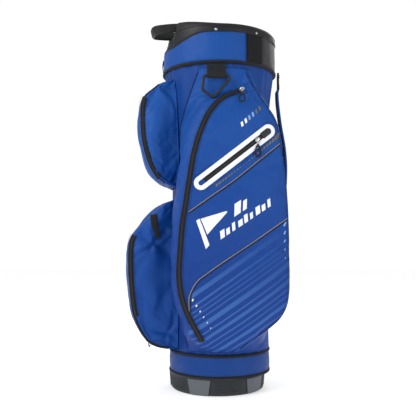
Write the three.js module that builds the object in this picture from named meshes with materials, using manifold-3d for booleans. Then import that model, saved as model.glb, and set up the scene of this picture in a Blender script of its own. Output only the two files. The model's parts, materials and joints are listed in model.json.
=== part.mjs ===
// A lightweight golf cart bag: moulded base, fabric barrel with full-length club dividers, padded collar,
// moulded top rim with a front grab handle, two side pockets, two front pockets, zips, towel ring
// and strap.
//
// Millimetres, +Z up. The origin is the middle of the barrel at the underside of the base.
// -Y is the bag's front (grab handle and front pockets), +Y its spine (strap), +X and -X its sides.
// Angles are degrees around the barrel, from +X towards +Y.

import * as THREE from 'three';
import { mergeVertices } from 'three/addons/utils/BufferGeometryUtils.js';
import Module from 'manifold-3d';

const wasm = await Module();
wasm.setup();

const { degToRad, lerp, smoothstep } = THREE.MathUtils;

// ---------------------------------------------------------------- driving dimensions

const GAP = 0.4; // clearance between neighbouring pieces
const POCKET_GAP = 1.4; // clearance between a pocket and the barrel behind it
const TURN_STEPS = 40; // facets round the barrel's rings
const FRONT = -90;
const SPINE = 90;
const GRIP = -78; // where the grab handle and its recess are, turned a little to the near side

const BASE = { height: 38, radius: 117, flare: 3, offsetY: -5, wall: 3, floor: 6, sleeveTop: 90 };
const BLOCKS = { count: 5, first: -23, width: 28, thick: 2 };
const BAND = { bottom: 47.5, top: 90, inner: 118.6, outer: 124.5 };
const BINDING = { radius: 122.5, thick: 3.2, lowZ: 43.8, highZ: 93.6 };
const BARREL = { bottom: 97.2, top: 775, wall: 3 };
const COLLAR = { bottom: 785, piping: 780, shellInner: 130, shellOuter: 135.6, outer: 140.5 };
const RIM = { inner: 124, outer: 142, low: 851, high: 873, frontDrop: 21, frontRise: 17 };
const RECESS = { full: 19, end: 30, outer: 30, inner: 17 };
const HANDLE = { root: 36, tip: 21, reach: 170, rootZ: 888, tipZ: 881, height: 21, thick: 7 };
const DIVIDER = { bottom: 14, top: 845, thick: 2.4, row: 58, inset: 2.5 };
const STAY = { radius: 3.5, spineRadius: 100, frontRadius: 107.5, bottom: 8, top: 770 };
const SIDE_POCKET = { turn: 12, bottom: 104, top: 766, edgeDrop: 6, wrap: 55 };
const FRONT_POCKET = { halfWidth: 95, wrap: 37, crown: 7 };
const VALUABLES = { outer: 16, slot: 5.5, thick: 2, from: [-81, 492], to: [79, 616], rest: [52, 595] };
const CURVED_ZIP = { centre: [64, 568], radius: 152, restAngle: 107 };
const SLIDER = { length: 13, width: 8, thick: 4, lift: 2.6 };
const PULLER = { length: 34, width: 20, cord: 3 };
const RING = { x: 146, z: 745, thick: 6, tilt: 9 };
const TAB = { from: -31, to: 13, loop: 6.4, hole: 4.8, top: 773, strap: 2.4 };
const STRAP = { halfWidth: 19, thick: 3.5, topZ: 740, bottomZ: 335 };
const CLIP = { top: 788, out: 147, thick: 6 };

// ---------------------------------------------------------------- small tools

const polar = (r, angle, z) =>
  new THREE.Vector3(r * Math.cos(degToRad(angle)), r * Math.sin(degToRad(angle)), z);

// A smooth curve through a few [height, value] knots.
function through(knots) {
  const slope = (i) => {
    const before = knots[Math.max(i - 1, 0)];
    const after = knots[Math.min(i + 1, knots.length - 1)];
    return (after[1] - before[1]) / (after[0] - before[0]);
  };
  return (z) => {
    if (z <= knots[0][0]) return knots[0][1];
    if (z >= knots[knots.length - 1][0]) return knots[knots.length - 1][1];
    const i = knots.findIndex((knot) => knot[0] > z) - 1;
    const span = knots[i + 1][0] - knots[i][0];
    const s = (z - knots[i][0]) / span;
    const a = knots[i][1];
    const b = knots[i + 1][1];
    const start = slope(i) * span;
    const end = slope(i + 1) * span;
    return a + s * (start + s * (3 * (b - a) - 2 * start - end + s * (2 * (a - b) + start + end)));
  };
}

// Welds a geometry into one closed mesh.
function welded(geometry) {
  geometry.deleteAttribute('normal');
  geometry.deleteAttribute('uv');
  const mesh = mergeVertices(geometry, 1e-3);
  mesh.computeVertexNormals();
  return mesh;
}

// Moves every vertex of a geometry to place(x, y, z).
function reshaped(geometry, place) {
  const position = geometry.attributes.position;
  for (let i = 0; i < position.count; i++) {
    const moved = place(position.getX(i), position.getY(i), position.getZ(i));
    position.setXYZ(i, moved.x, moved.y, moved.z);
  }
  return welded(geometry);
}

// A box bent into shape: u runs from -1 to 1, v and w from 0 to 1, and u, v, w stay right-handed.
function bentBox(uSteps, vSteps, wSteps, place) {
  const box = new THREE.BoxGeometry(2, 1, 1, uSteps, vSteps, wSteps);
  return reshaped(box, (x, y, z) => place(x, y + 0.5, z + 0.5));
}

// A ring turned from a closed (radius, height) section, then moved by place(radius, angle, height).
function ring(section, steps, place = polar) {
  const points = section.map(([r, h]) => new THREE.Vector2(r, h));
  const lathe = new THREE.LatheGeometry([...points, points[0]], steps);
  // The lathe turns about Y, so its circle is read in (z, x) and its height from y.
  return reshaped(lathe, (x, y, z) => {
    const angle = THREE.MathUtils.radToDeg(Math.atan2(x, z));
    return place(Math.hypot(x, z), angle, y);
  });
}

const roundSection = (radius, height, size, steps) =>
  Array.from({ length: steps }, (_, i) => {
    const turn = (i / steps) * 2 * Math.PI;
    return [radius + size * Math.cos(turn), height + size * Math.sin(turn)];
  });

// Part of a wall: heights from low(angle) to high(angle), radii from inner(z) to outer(z).
function wall(from, to, steps, rows, low, high, inner, outer) {
  return bentBox(steps, rows, 1, (u, v, w) => {
    const angle = lerp(from, to, (u + 1) / 2);
    const z = lerp(low(angle), high(angle), v);
    return polar(lerp(inner(z), outer(z), w), angle, z);
  });
}

function toSolid(geometry) {
  return new wasm.Manifold(
    new wasm.Mesh({
      numProp: 3,
      vertProperties: Float32Array.from(geometry.attributes.position.array),
      triVerts: Uint32Array.from(geometry.index.array),
    }),
  );
}

function fromSolid(solid) {
  const mesh = solid.getMesh();
  const geometry = new THREE.BufferGeometry();
  geometry.setAttribute('position', new THREE.BufferAttribute(mesh.vertProperties, 3));
  geometry.setIndex(new THREE.BufferAttribute(mesh.triVerts, 1));
  return welded(geometry);
}

// The same piece on the other side of the bag.
function mirrored(geometry) {
  const other = geometry.clone();
  const position = other.attributes.position;
  for (let i = 0; i < position.count; i++) position.setX(i, -position.getX(i));
  const index = other.index.array;
  for (let i = 0; i < index.length; i += 3) [index[i], index[i + 1]] = [index[i + 1], index[i]];
  other.computeVertexNormals();
  return other;
}

// ---------------------------------------------------------------- materials and the group

const finishes = {
  blueFabric: { color: 0x2a5aa4, roughness: 0.62, metalness: 0 },
  blackTrim: { color: 0x24272a, roughness: 0.7, metalness: 0 },
  blackPlastic: { color: 0x2b2d30, roughness: 0.45, metalness: 0 },
  greyPlastic: { color: 0x686c72, roughness: 0.5, metalness: 0 },
  greyPatch: { color: 0x3c3d42, roughness: 0.55, metalness: 0 },
  lining: { color: 0x33363a, roughness: 0.8, metalness: 0 },
  whiteFrame: { color: 0xe9ebee, roughness: 0.4, metalness: 0 },
  metal: { color: 0xb8babd, roughness: 0.25, metalness: 1 },
};

const bag = new THREE.Group();

function add(name, finish, geometry) {
  const mesh = new THREE.Mesh(geometry, new THREE.MeshStandardMaterial(finishes[finish]));
  mesh.name = name;
  bag.add(mesh);
  return mesh;
}

// ---------------------------------------------------------------- the barrel's shape

const barrelRadius = through([
  [93, 124],
  [260, 120.5],
  [430, 119],
  [560, 121],
  [700, 129],
  [780, 138.5],
]);

// How far an angle is from the grab handle.
const fromGrip = (angle) => Math.abs(THREE.MathUtils.euclideanModulo(angle - GRIP + 180, 360) - 180);

const rimLow = (angle) => RIM.low - RIM.frontDrop * (1 - smoothstep(fromGrip(angle), 23, 63));
const rimHigh = (angle) => RIM.high + RIM.frontRise * (1 - smoothstep(fromGrip(angle), 18, 83));

// ---------------------------------------------------------------- base

function makeBase() {
  const placed = (r, angle, z) => polar(r, angle, z).add(new THREE.Vector3(0, BASE.offsetY, 0));
  const { height, radius, flare, wall: thick, floor, sleeveTop } = BASE;
  const sleeve = BAND.inner - GAP + BASE.offsetY;
  const points = [
    [0, 0],
    [radius - flare - 3, 0],
    [radius - flare, 2.5],
    [radius, height],
    [sleeve, height + 0.5],
    [sleeve, sleeveTop],
    [sleeve - thick, sleeveTop],
    [sleeve - thick, floor],
    [0, floor],
  ].map(([r, z]) => new THREE.Vector2(r, z));
  const turned = new THREE.LatheGeometry(points, TURN_STEPS);
  const cup = reshaped(turned, (x, y, z) => new THREE.Vector3(z, x + BASE.offsetY, y));
  add('base_shell', 'blackPlastic', cup);

  const trimLow = height + 0.5 + GAP;
  const trimHigh = BINDING.lowZ - BINDING.thick - GAP;
  const trim = [
    [sleeve + GAP, trimLow],
    [radius + 2, trimLow],
    [radius + 2, trimHigh],
    [sleeve + GAP, trimHigh],
  ];
  add('base_trim_ring', 'greyPlastic', ring(trim, TURN_STEPS, placed));

  for (let i = 0; i < BLOCKS.count; i++) {
    const middle = BLOCKS.first + (i * 360) / BLOCKS.count;
    const skin = (z) => radius - flare * (1 - z / height) + 0.6;
    const block = bentBox(6, 1, 1, (u, v, w) => {
      const z = lerp(3, height - GAP, v);
      return placed(skin(z) + w * BLOCKS.thick, middle + (u * BLOCKS.width) / 2, z);
    });
    add(`base_block_${i + 1}`, 'greyPlastic', block);
  }
}

// ---------------------------------------------------------------- lower band and barrel

function makeBarrel() {
  const { bottom, top, inner, outer } = BAND;
  const band = [
    [inner, bottom],
    [outer - 1.5, bottom],
    [outer, (bottom + top) / 2],
    [outer - 1.5, top],
    [inner, top],
  ];
  add('lower_band', 'blueFabric', ring(band, TURN_STEPS));
  for (const [name, z] of [['binding_lower', BINDING.lowZ], ['binding_upper', BINDING.highZ]]) {
    add(name, 'blackTrim', ring(roundSection(BINDING.radius, z, BINDING.thick, 6), TURN_STEPS));
  }

  const seam = 0.15;
  const quarters = { barrel_near: 0, barrel_spine: 90, barrel_far: 180, barrel_front: 270 };
  for (const [name, middle] of Object.entries(quarters)) {
    const panel = wall(
      middle - 45 + seam, middle + 45 - seam, 9, 8,
      () => BARREL.bottom, () => BARREL.top,
      (z) => barrelRadius(z) - BARREL.wall, barrelRadius,
    );
    add(name, 'blueFabric', panel);
  }

  const { spineRadius, frontRadius } = STAY;
  const stays = {
    stay_near: [spineRadius, SPINE - 21],
    stay_far: [spineRadius, SPINE + 21],
    stay_front: [frontRadius, FRONT],
  };
  for (const [name, [radius, angle]] of Object.entries(stays)) {
    const rod = new THREE.CylinderGeometry(STAY.radius, STAY.radius, STAY.top - STAY.bottom, 10);
    const foot = polar(radius, angle, (STAY.top + STAY.bottom) / 2);
    add(name, 'metal', reshaped(rod, (x, y, z) => new THREE.Vector3(x + foot.x, foot.y - z, y + foot.z)));
  }
}

// ---------------------------------------------------------------- collar and rim

function makeCollar() {
  const shell = [
    [COLLAR.shellInner, COLLAR.bottom],
    [COLLAR.shellOuter, COLLAR.bottom],
    [COLLAR.shellOuter, 1],
    [COLLAR.shellInner, 1],
  ];
  const shellTop = (angle) => rimLow(angle) - 3 * GAP; // room for the facets of both rings
  const lifted = (r, angle, h) => polar(r, angle, h === 1 ? shellTop(angle) : h);
  add('top_shell', 'blackPlastic', ring(shell, TURN_STEPS, lifted));

  const skin = (from, to, steps) =>
    wall(
      from, to, steps, 3, () => COLLAR.bottom, shellTop,
      () => COLLAR.shellOuter + GAP, () => COLLAR.outer,
    );
  const panelEdge = 27;
  const patchEdge = 46;
  const seam = 0.12;
  add('collar_front', 'blueFabric', skin(-180 - panelEdge + seam, panelEdge - seam, 30));
  add('collar_panel_near', 'blackTrim', skin(panelEdge + seam, patchEdge - seam, 4));
  add('collar_patch', 'greyPatch', skin(patchEdge + seam, 180 - patchEdge - seam, 12));
  add('collar_panel_far', 'blackTrim', skin(180 - patchEdge + seam, 180 - panelEdge - seam, 4));
  add('collar_piping', 'blackTrim', ring(roundSection(139.3, COLLAR.piping, 4.3, 8), TURN_STEPS));
}

// The rim leans inwards at the front, where a hand goes behind the grab handle.
function rimPlace(grow) {
  return (r, angle, h) => {
    const lean = 1 - smoothstep(fromGrip(angle), RECESS.full, RECESS.end);
    const across = (r - RIM.inner) / (RIM.outer - RIM.inner);
    const rise = THREE.MathUtils.clamp(h, 0, 1);
    const inner = RIM.inner - RECESS.inner * lean * rise;
    const outer = RIM.outer - RECESS.outer * lean * rise;
    const swell = (across - 0.5) * 2 * grow;
    const z = lerp(rimLow(angle), rimHigh(angle), h) + (h - 0.5) * 2 * grow;
    return polar(lerp(inner, outer, across) + swell, angle, z);
  };
}

function makeRim() {
  const section = [
    [RIM.inner, 0],
    [RIM.outer - 1, 0],
    [RIM.outer, 0.45],
    [RIM.outer - 2, 0.85],
    [RIM.outer - 7, 1],
    [RIM.inner + 6, 1],
    [RIM.inner + 1, 0.85],
  ];
  const steps = 72;
  add('top_rim', 'blackPlastic', ring(section, steps, rimPlace(0)));

  // The handle's middle line in plan, before it is turned: out from one root, round the tip and back.
  const rootY = -100;
  const side = [
    [HANDLE.root, rootY],
    [HANDLE.root - 1, -122],
    [HANDLE.root - 5, -143],
    [HANDLE.tip, 5 - HANDLE.reach],
  ];
  const back = side.map(([x, y]) => [-x, y]).reverse();
  const route = new THREE.CatmullRomCurve3(
    [...side, [0, -HANDLE.reach], ...back].map(([x, y]) => new THREE.Vector3(x, y, 0)),
  );
  const turned = degToRad(GRIP - FRONT);
  const grip = bentBox(28, 2, 1, (u, v, w) => {
    const along = (u + 1) / 2;
    const middle = route.getPoint(along);
    const tangent = route.getTangent(along);
    const outward = new THREE.Vector3(-tangent.y, tangent.x, 0).negate();
    const reach = THREE.MathUtils.clamp((rootY - middle.y) / (HANDLE.reach + rootY), 0, 1);
    const z = lerp(HANDLE.rootZ, HANDLE.tipZ, reach) + (v - 0.5) * HANDLE.height;
    const flare = (v - 0.5) * 5 * reach;
    const point = middle.addScaledVector(outward, (w - 0.5) * HANDLE.thick + flare).setZ(z);
    return point.applyAxisAngle(new THREE.Vector3(0, 0, 1), turned);
  });
  const solid = toSolid(grip);
  const body = solid.subtract(toSolid(ring(section, steps, rimPlace(GAP))));
  add('front_handle', 'blackPlastic', fromSolid(largest(body)));
}

// The biggest of a solid's separate pieces.
const largest = (solid) =>
  solid.decompose().reduce((best, piece) => (piece.volume() > best.volume() ? piece : best));

// ---------------------------------------------------------------- club dividers

// An upright divider sheet: its width at each height is left(z) to right(z) along its own direction.
function dividerSheet(left, right, toPoint) {
  const rows = 6;
  return bentBox(1, rows, 1, (u, v, w) => {
    const z = lerp(DIVIDER.bottom, DIVIDER.top, v);
    const along = lerp(left(z), right(z), (u + 1) / 2);
    return toPoint(along, (w - 0.5) * DIVIDER.thick, z);
  });
}

function makeDividers() {
  // The clear radius inside the base sleeve, the barrel and the collar shell.
  const clear = through([
    [14, 104],
    [100, 106],
    [430, 114],
    [600, 116],
    [700, 122],
    [845, 122],
  ]);
  const reach = (z, offset) => Math.sqrt(clear(z) ** 2 - offset ** 2) - DIVIDER.inset;
  const half = DIVIDER.thick / 2 + GAP;

  const rows = [-DIVIDER.row, 0, DIVIDER.row];
  rows.forEach((y, i) => {
    const sheet = dividerSheet(
      (z) => -reach(z, y), (z) => reach(z, y),
      (along, across, z) => new THREE.Vector3(along, y - across, z),
    );
    add(`divider_row_${i + 1}`, 'lining', sheet);
  });

  // Two webs in the front and spine rows, three in the two middle rows.
  const outerWebs = [-27, 27];
  const innerWebs = [-52, 0, 52];
  const bays = [
    { webs: outerWebs, from: (x) => (z) => -reach(z, x), to: () => () => -DIVIDER.row - half },
    { webs: innerWebs, from: () => () => -DIVIDER.row + half, to: () => () => -half },
    { webs: innerWebs, from: () => () => half, to: () => () => DIVIDER.row - half },
    { webs: outerWebs, from: () => () => DIVIDER.row + half, to: (x) => (z) => reach(z, x) },
  ];
  bays.forEach((bay, row) => {
    bay.webs.forEach((x, i) => {
      const place = (along, across, z) => new THREE.Vector3(x + across, along, z);
      const sheet = dividerSheet(bay.from(x), bay.to(x), place);
      add(`divider_web_${row + 1}${'abc'[i]}`, 'lining', sheet);
    });
  });
}

// ---------------------------------------------------------------- side pockets

// The pocket's face, in its own directions: t runs along the face towards the spine, n points out of it.
const turnAngle = degToRad(SIDE_POCKET.turn);
const faceOut = new THREE.Vector3(Math.cos(turnAngle), Math.sin(turnAngle), 0);
const faceAlong = new THREE.Vector3(-Math.sin(turnAngle), Math.cos(turnAngle), 0);

const facePoint = (n, t, z) =>
  new THREE.Vector3(0, 0, z).addScaledVector(faceOut, n).addScaledVector(faceAlong, t);

// Edges of the face: the zip side towards the bag's front, the seam side towards the spine.
const zipEdge = through([
  [104, -60], [135, -84], [200, -117], [250, -134], [292, -137], [400, -130], [500, -115],
  [600, -94], [647, -74], [680, -50], [700, -22], [716, 14], [766, 26],
]);
const seamEdge = through([
  [104, 60], [140, 75], [180, 110], [225, 131], [320, 134], [460, 130],
  [560, 120], [640, 103], [690, 74], [740, 42], [766, 34],
]);
// The angle where the front gusset meets the barrel.
const gussetAngle = through([
  [104, -36], [200, -48], [620, -49], [644, -46], [680, -39], [720, -30], [766, -20],
]);

const pocketDepth = through([
  [104, 134], [150, 152], [230, 165], [620, 165], [680, 158], [716, 151], [745, 144], [766, 142],
]);

// How deep the face lies at t, z: full in the middle, lower towards its edges.
function faceDepth(t, z) {
  const middle = (zipEdge(z) + seamEdge(z)) / 2;
  const half = (seamEdge(z) - zipEdge(z)) / 2;
  const out = Math.min(Math.abs(t - middle) / half, 1);
  return pocketDepth(z) - SIDE_POCKET.edgeDrop * out ** 4;
}

const onFace = (t, z, lift = 0) => facePoint(faceDepth(t, z) + lift, t, z);

function makeSidePocket() {
  return bentBox(12, 22, 1, (u, v, w) => {
    const z = lerp(SIDE_POCKET.bottom, SIDE_POCKET.top, v);
    const across = (u + 1) / 2;
    const outer = onFace(lerp(zipEdge(z), seamEdge(z), across), z);
    const spineAngle = SIDE_POCKET.turn + lerp(SIDE_POCKET.wrap, 20, smoothstep(z, 600, 766));
    const innerAngle = lerp(gussetAngle(z), spineAngle, across);
    const skin = barrelRadius(z) + POCKET_GAP;
    const point = polar(skin, innerAngle, z).lerp(outer, w);
    const radius = Math.hypot(point.x, point.y);
    const least = skin + 3 * w;
    if (radius < least) point.multiply(new THREE.Vector3(least / radius, least / radius, 1));
    return point;
  });
}

// ---------------------------------------------------------------- front pockets

const upperReach = through([
  [488, 122], [500, 138], [515, 156], [550, 176], [600, 190], [640, 194], [695, 193], [712, 184],
  [735, 156], [752, 138],
]);
const lowerReach = through([
  [101, 127], [112, 158], [130, 181], [175, 206], [222, 216], [300, 222], [360, 219], [385, 205],
  [426, 162], [450, 136], [464, 122],
]);

function makeFrontPocket(bottom, top, reach) {
  const { halfWidth, wrap, crown } = FRONT_POCKET;
  return bentBox(10, 14, 1, (u, v, w) => {
    const z = lerp(bottom, top, v);
    const skin = barrelRadius(z) + POCKET_GAP;
    const inner = polar(skin, FRONT + u * wrap, z);
    const outer = new THREE.Vector3(halfWidth * u, -reach(z) - crown * (1 - u ** 2), z);
    const point = inner.lerp(outer, w);
    const radius = Math.hypot(point.x, point.y);
    const least = skin + 3 * w;
    if (radius < least) point.multiply(new THREE.Vector3(least / radius, least / radius, 1));
    return point;
  });
}

function makePockets() {
  const side = makeSidePocket();
  add('side_pocket_near', 'blueFabric', side);
  add('side_pocket_far', 'blueFabric', mirrored(side));
  add('front_pocket_upper', 'blueFabric', makeFrontPocket(490, 750, upperReach));
  add('front_pocket_lower', 'blueFabric', makeFrontPocket(102, 462, lowerReach));
}

// ---------------------------------------------------------------- zips on the near pocket

// A plate on the pocket face: its outline is in its own (along, across) directions, then laid on
// the face.
const zipStart = new THREE.Vector2(...VALUABLES.from);
const zipEnd = new THREE.Vector2(...VALUABLES.to);
const zipMiddle = zipStart.clone().add(zipEnd).multiplyScalar(0.5);
const zipAlong = zipEnd.clone().sub(zipStart).normalize();
const zipAcross = new THREE.Vector2(-zipAlong.y, zipAlong.x);
const zipHalf = zipStart.distanceTo(zipEnd) / 2;

function onZip(along, across, lift) {
  const spot = zipMiddle.clone().addScaledVector(zipAlong, along).addScaledVector(zipAcross, across);
  return onFace(spot.x, spot.y, lift);
}

// The point at a turn from 0 to 1 round a slot with straight sides and round ends.
function slotPoint(half, radius, turn) {
  const straight = 0.35;
  const side = turn < 0.5 ? 1 : -1;
  const along = (turn % 0.5) / 0.5;
  if (along < 2 * straight) return [side * lerp(half, -half, along / (2 * straight)), side * radius];
  const round = lerp(Math.PI / 2, 3 * Math.PI / 2, (along - 2 * straight) / (1 - 2 * straight));
  return [side * (-half + radius * Math.cos(round)), side * radius * Math.sin(round)];
}

function makeValuablesZip() {
  const { slot, outer, thick } = VALUABLES;
  const section = [[slot, GAP], [outer, GAP], [outer - 0.6, GAP + thick], [slot + 0.6, GAP + thick]];
  const frame = ring(section, 60, (radius, angle, lift) => {
    const turn = THREE.MathUtils.euclideanModulo(angle / 360, 1);
    const [along, across] = slotPoint(zipHalf, radius, turn);
    return onZip(along, across, lift);
  });
  add('valuables_zip_frame', 'whiteFrame', frame);

  const tape = bentBox(12, 1, 1, (u, v, w) =>
    onZip(u * zipHalf, lerp(-1, 1, v) * (slot - GAP), GAP + w * 0.8));
  add('valuables_zip_tape', 'blackTrim', tape);
}

// ---------------------------------------------------------------- sliders and pullers

// A small frame on a surface: origin, forward along the zip, outward from the fabric.
function basis(origin, forward, outward) {
  const f = forward.clone().normalize();
  const o = outward.clone().addScaledVector(f, -outward.dot(f)).normalize();
  const side = new THREE.Vector3().crossVectors(o, f);
  return new THREE.Matrix4().makeBasis(f, side, o).setPosition(origin);
}

const inBasis = (matrix) => (x, y, z) => new THREE.Vector3(x, y, z).applyMatrix4(matrix);

// The slider: a tapered body with a bridge, pointed end forward.
function sliderBody() {
  const { length, width, thick } = SLIDER;
  return bentBox(4, 2, 2, (u, v, w) => {
    const half = (width / 2) * (1 - 0.25 * Math.max(u, 0) ** 2);
    const crown = 1 - 0.25 * u ** 2;
    return new THREE.Vector3((u * length) / 2, lerp(-half, half, v), w * thick * crown);
  });
}

// The puller: a cord loop hanging down from its top end, flat, with its thickness outwards.
function pullerLoop() {
  const { length, width, cord } = PULLER;
  const steps = 16;
  const outline = (inset) =>
    Array.from({ length: steps }, (_, i) => {
      const turn = (i / steps) * 2 * Math.PI;
      const down = (1 - Math.cos(turn)) / 2;
      const half = (width / 2 - inset) * Math.sin(turn) * (0.45 + 0.55 * down);
      return new THREE.Vector2(half, -lerp(inset, length - inset, down));
    });
  const shape = new THREE.Shape(outline(0));
  shape.holes.push(new THREE.Path(outline(cord).reverse()));
  return new THREE.ExtrudeGeometry(shape, { depth: cord * 0.8, bevelEnabled: false });
}

// Adds a slider with its puller hanging straight down below it.
function addZipPull(name, at, forward, outward, far = false) {
  const origin = at.clone().addScaledVector(outward, SLIDER.lift);
  const slider = reshaped(sliderBody(), inBasis(basis(origin, forward, outward)));
  const down = new THREE.Vector3(0, 0, -1).addScaledVector(outward, outward.z).normalize();
  const top = origin.clone().addScaledVector(down, SLIDER.length / 2 + 1.2).addScaledVector(outward, 1.6);
  const sideways = new THREE.Vector3().crossVectors(down.clone().negate(), outward);
  const matrix = new THREE.Matrix4().makeBasis(sideways, down.clone().negate(), outward).setPosition(top);
  const puller = reshaped(pullerLoop(), inBasis(matrix));
  add(`${name}_slider`, 'metal', far ? mirrored(slider) : slider);
  add(`${name}_puller`, 'blackTrim', far ? mirrored(puller) : puller);
}

function faceNormal(t, z) {
  const step = 2;
  const along = onFace(t + step, z).sub(onFace(t - step, z));
  const up = onFace(t, z + step).sub(onFace(t, z - step));
  return along.cross(up).normalize();
}

// A point and direction on the round stretch of the near pocket's curved zip.
function curvedZip(angle) {
  const turn = degToRad(angle);
  const t = CURVED_ZIP.centre[0] + CURVED_ZIP.radius * Math.cos(turn);
  const z = CURVED_ZIP.centre[1] + CURVED_ZIP.radius * Math.sin(turn);
  const down = new THREE.Vector3(0, 0, -Math.cos(turn));
  const forward = faceAlong.clone().multiplyScalar(Math.sin(turn)).add(down);
  return { t, z, forward };
}

function makeZipPulls() {
  const rest = curvedZip(CURVED_ZIP.restAngle);
  const at = onFace(rest.t, rest.z);
  const normal = faceNormal(rest.t, rest.z);
  addZipPull('side_near', at, rest.forward, normal);
  addZipPull('side_far', at, rest.forward, normal, true);

  const [t, z] = VALUABLES.rest;
  const forward = facePoint(0, zipAlong.x, zipAlong.y);
  addZipPull('valuables', onFace(t, z), forward, faceOut);

  // The front pockets' sliders are parked on the far side walls.
  const upright = new THREE.Vector3(0, 0, 1);
  const outward = new THREE.Vector3(-1, 0, 0);
  const farWall = 1.5 - FRONT_POCKET.halfWidth;
  addZipPull('front_upper', new THREE.Vector3(farWall, -183, 690), upright, outward);
  addZipPull('front_lower', new THREE.Vector3(farWall, -211, 350), upright, outward);
}

// ---------------------------------------------------------------- towel ring

function makeTowelRing() {
  // The ring's outline in (y, z), a five-sided loop hanging from its straight top bar.
  const outer = [[-41, 3], [-45, -36], [-19, -55], [-13, -55], [26, -9], [24, 3]];
  const inner = [[-35, -3], [17, -3], [19, -8], [-16, -47], [-38.5, -31.5]];
  const shape = new THREE.Shape(outer.map(([y, z]) => new THREE.Vector2(y, z)));
  shape.holes.push(new THREE.Path(inner.map(([y, z]) => new THREE.Vector2(y, z)).reverse()));
  const plate = new THREE.ExtrudeGeometry(shape, { depth: RING.thick, bevelEnabled: false });
  const tilt = degToRad(RING.tilt);
  const placed = (y, z, x) => {
    const out = x - RING.thick / 2;
    return new THREE.Vector3(
      RING.x + out * Math.cos(tilt) - z * Math.sin(tilt),
      y,
      RING.z + z * Math.cos(tilt) + out * Math.sin(tilt),
    );
  };
  add('towel_ring', 'blackPlastic', reshaped(plate, placed));

  // The webbing tab: a strap from the collar piping, sewn into a loop round the ring's bar.
  const { from, to, loop, hole, top, strap } = TAB;
  const rise = top - RING.z;
  const neck = 3.2;
  const side = Math.sqrt(loop ** 2 - neck ** 2);
  const outline = new THREE.Shape();
  outline.moveTo(-neck, rise);
  outline.lineTo(-neck, side);
  const end = Math.atan2(side, -neck + strap) + 2 * Math.PI;
  outline.absarc(0, 0, loop, Math.atan2(side, -neck), end, false);
  outline.lineTo(-neck + strap, rise);
  const round = new THREE.Path();
  round.absarc(0, 0, hole, 0, 2 * Math.PI, true);
  outline.holes.push(round);
  const tab = new THREE.ExtrudeGeometry(outline, {
    depth: to - from,
    bevelEnabled: false,
    curveSegments: 10,
  });
  const place = (x, z, y) => new THREE.Vector3(RING.x + x, to - y, RING.z + z);
  add('towel_ring_tab', 'blackTrim', reshaped(tab, place));
}

// ---------------------------------------------------------------- carry strap

function makeStrap() {
  // How far the strap stands from the barrel's axis at each height.
  const standOff = through([
    [335, 129], [380, 142], [450, 158], [530, 165], [591, 162], [653, 152], [712, 145], [740, 144],
  ]);
  const { halfWidth, thick, topZ, bottomZ } = STRAP;
  const band = bentBox(2, 20, 1, (u, v, w) => {
    const z = lerp(bottomZ, topZ, v);
    return new THREE.Vector3(-u * halfWidth, standOff(z) + w * thick, z);
  });
  add('carry_strap', 'blueFabric', band);

  // The clip stands above the strap, in front of the collar piping.
    const clip = bentBox(2, 6, 1, (u, v, w) => {
    const z = lerp(topZ + 1, CLIP.top, v);
    const half = lerp(12, 7, v) - 2 * Math.sin(v * Math.PI);
    return new THREE.Vector3(-u * half, CLIP.out + w * CLIP.thick, z);
  });
  add('strap_clip', 'blackPlastic', clip);

  const anchor = wall(
    SPINE - 11, SPINE + 11, 4, 2, () => 300, () => bottomZ - 1.2,
    (z) => barrelRadius(z) + GAP, (z) => barrelRadius(z) + 6,
  );
  add('strap_anchor', 'blackTrim', anchor);
}

makeBase();
makeBarrel();
makeCollar();
makeRim();
makeDividers();
makePockets();
makeValuablesZip();
makeZipPulls();
makeTowelRing();
makeStrap();

export default bag;
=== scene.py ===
"""A lightweight golf cart bag: the looks of every piece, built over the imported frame.

Metres, +Z up. +X is the near side, -Y the front with the grab handle, +Y the spine with the strap.
Angles are degrees round the barrel, from +X towards +Y.
"""

import json
import math

import bmesh
import bpy
import numpy as np
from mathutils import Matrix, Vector
from mathutils.bvhtree import BVHTree

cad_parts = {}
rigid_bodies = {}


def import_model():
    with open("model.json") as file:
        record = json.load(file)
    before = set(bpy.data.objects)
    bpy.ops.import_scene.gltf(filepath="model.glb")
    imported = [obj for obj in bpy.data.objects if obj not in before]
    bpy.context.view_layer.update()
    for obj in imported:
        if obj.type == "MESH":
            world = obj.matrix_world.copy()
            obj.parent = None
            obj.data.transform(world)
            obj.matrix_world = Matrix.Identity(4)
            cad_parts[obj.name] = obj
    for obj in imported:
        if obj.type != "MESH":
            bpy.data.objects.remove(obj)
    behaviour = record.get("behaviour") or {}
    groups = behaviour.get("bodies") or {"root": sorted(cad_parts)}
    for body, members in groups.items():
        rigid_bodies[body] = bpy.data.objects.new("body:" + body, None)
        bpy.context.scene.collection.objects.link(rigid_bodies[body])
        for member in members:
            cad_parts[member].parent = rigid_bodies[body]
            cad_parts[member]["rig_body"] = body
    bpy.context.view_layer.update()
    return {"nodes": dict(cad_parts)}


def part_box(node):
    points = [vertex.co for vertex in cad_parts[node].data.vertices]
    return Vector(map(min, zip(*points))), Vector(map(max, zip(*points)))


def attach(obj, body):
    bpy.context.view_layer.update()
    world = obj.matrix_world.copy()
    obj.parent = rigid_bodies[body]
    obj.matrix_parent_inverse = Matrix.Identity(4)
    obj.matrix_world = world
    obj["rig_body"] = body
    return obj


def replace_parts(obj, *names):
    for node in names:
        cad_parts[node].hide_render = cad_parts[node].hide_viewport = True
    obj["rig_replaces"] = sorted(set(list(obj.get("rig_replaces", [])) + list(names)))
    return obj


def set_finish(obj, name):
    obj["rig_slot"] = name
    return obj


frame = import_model()

# ---------------------------------------------------------------- driving dimensions

FRONT = -90
SPINE = 90
GRIP = -78  # where the grab handle and its recess are, turned a little to the near side

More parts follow.
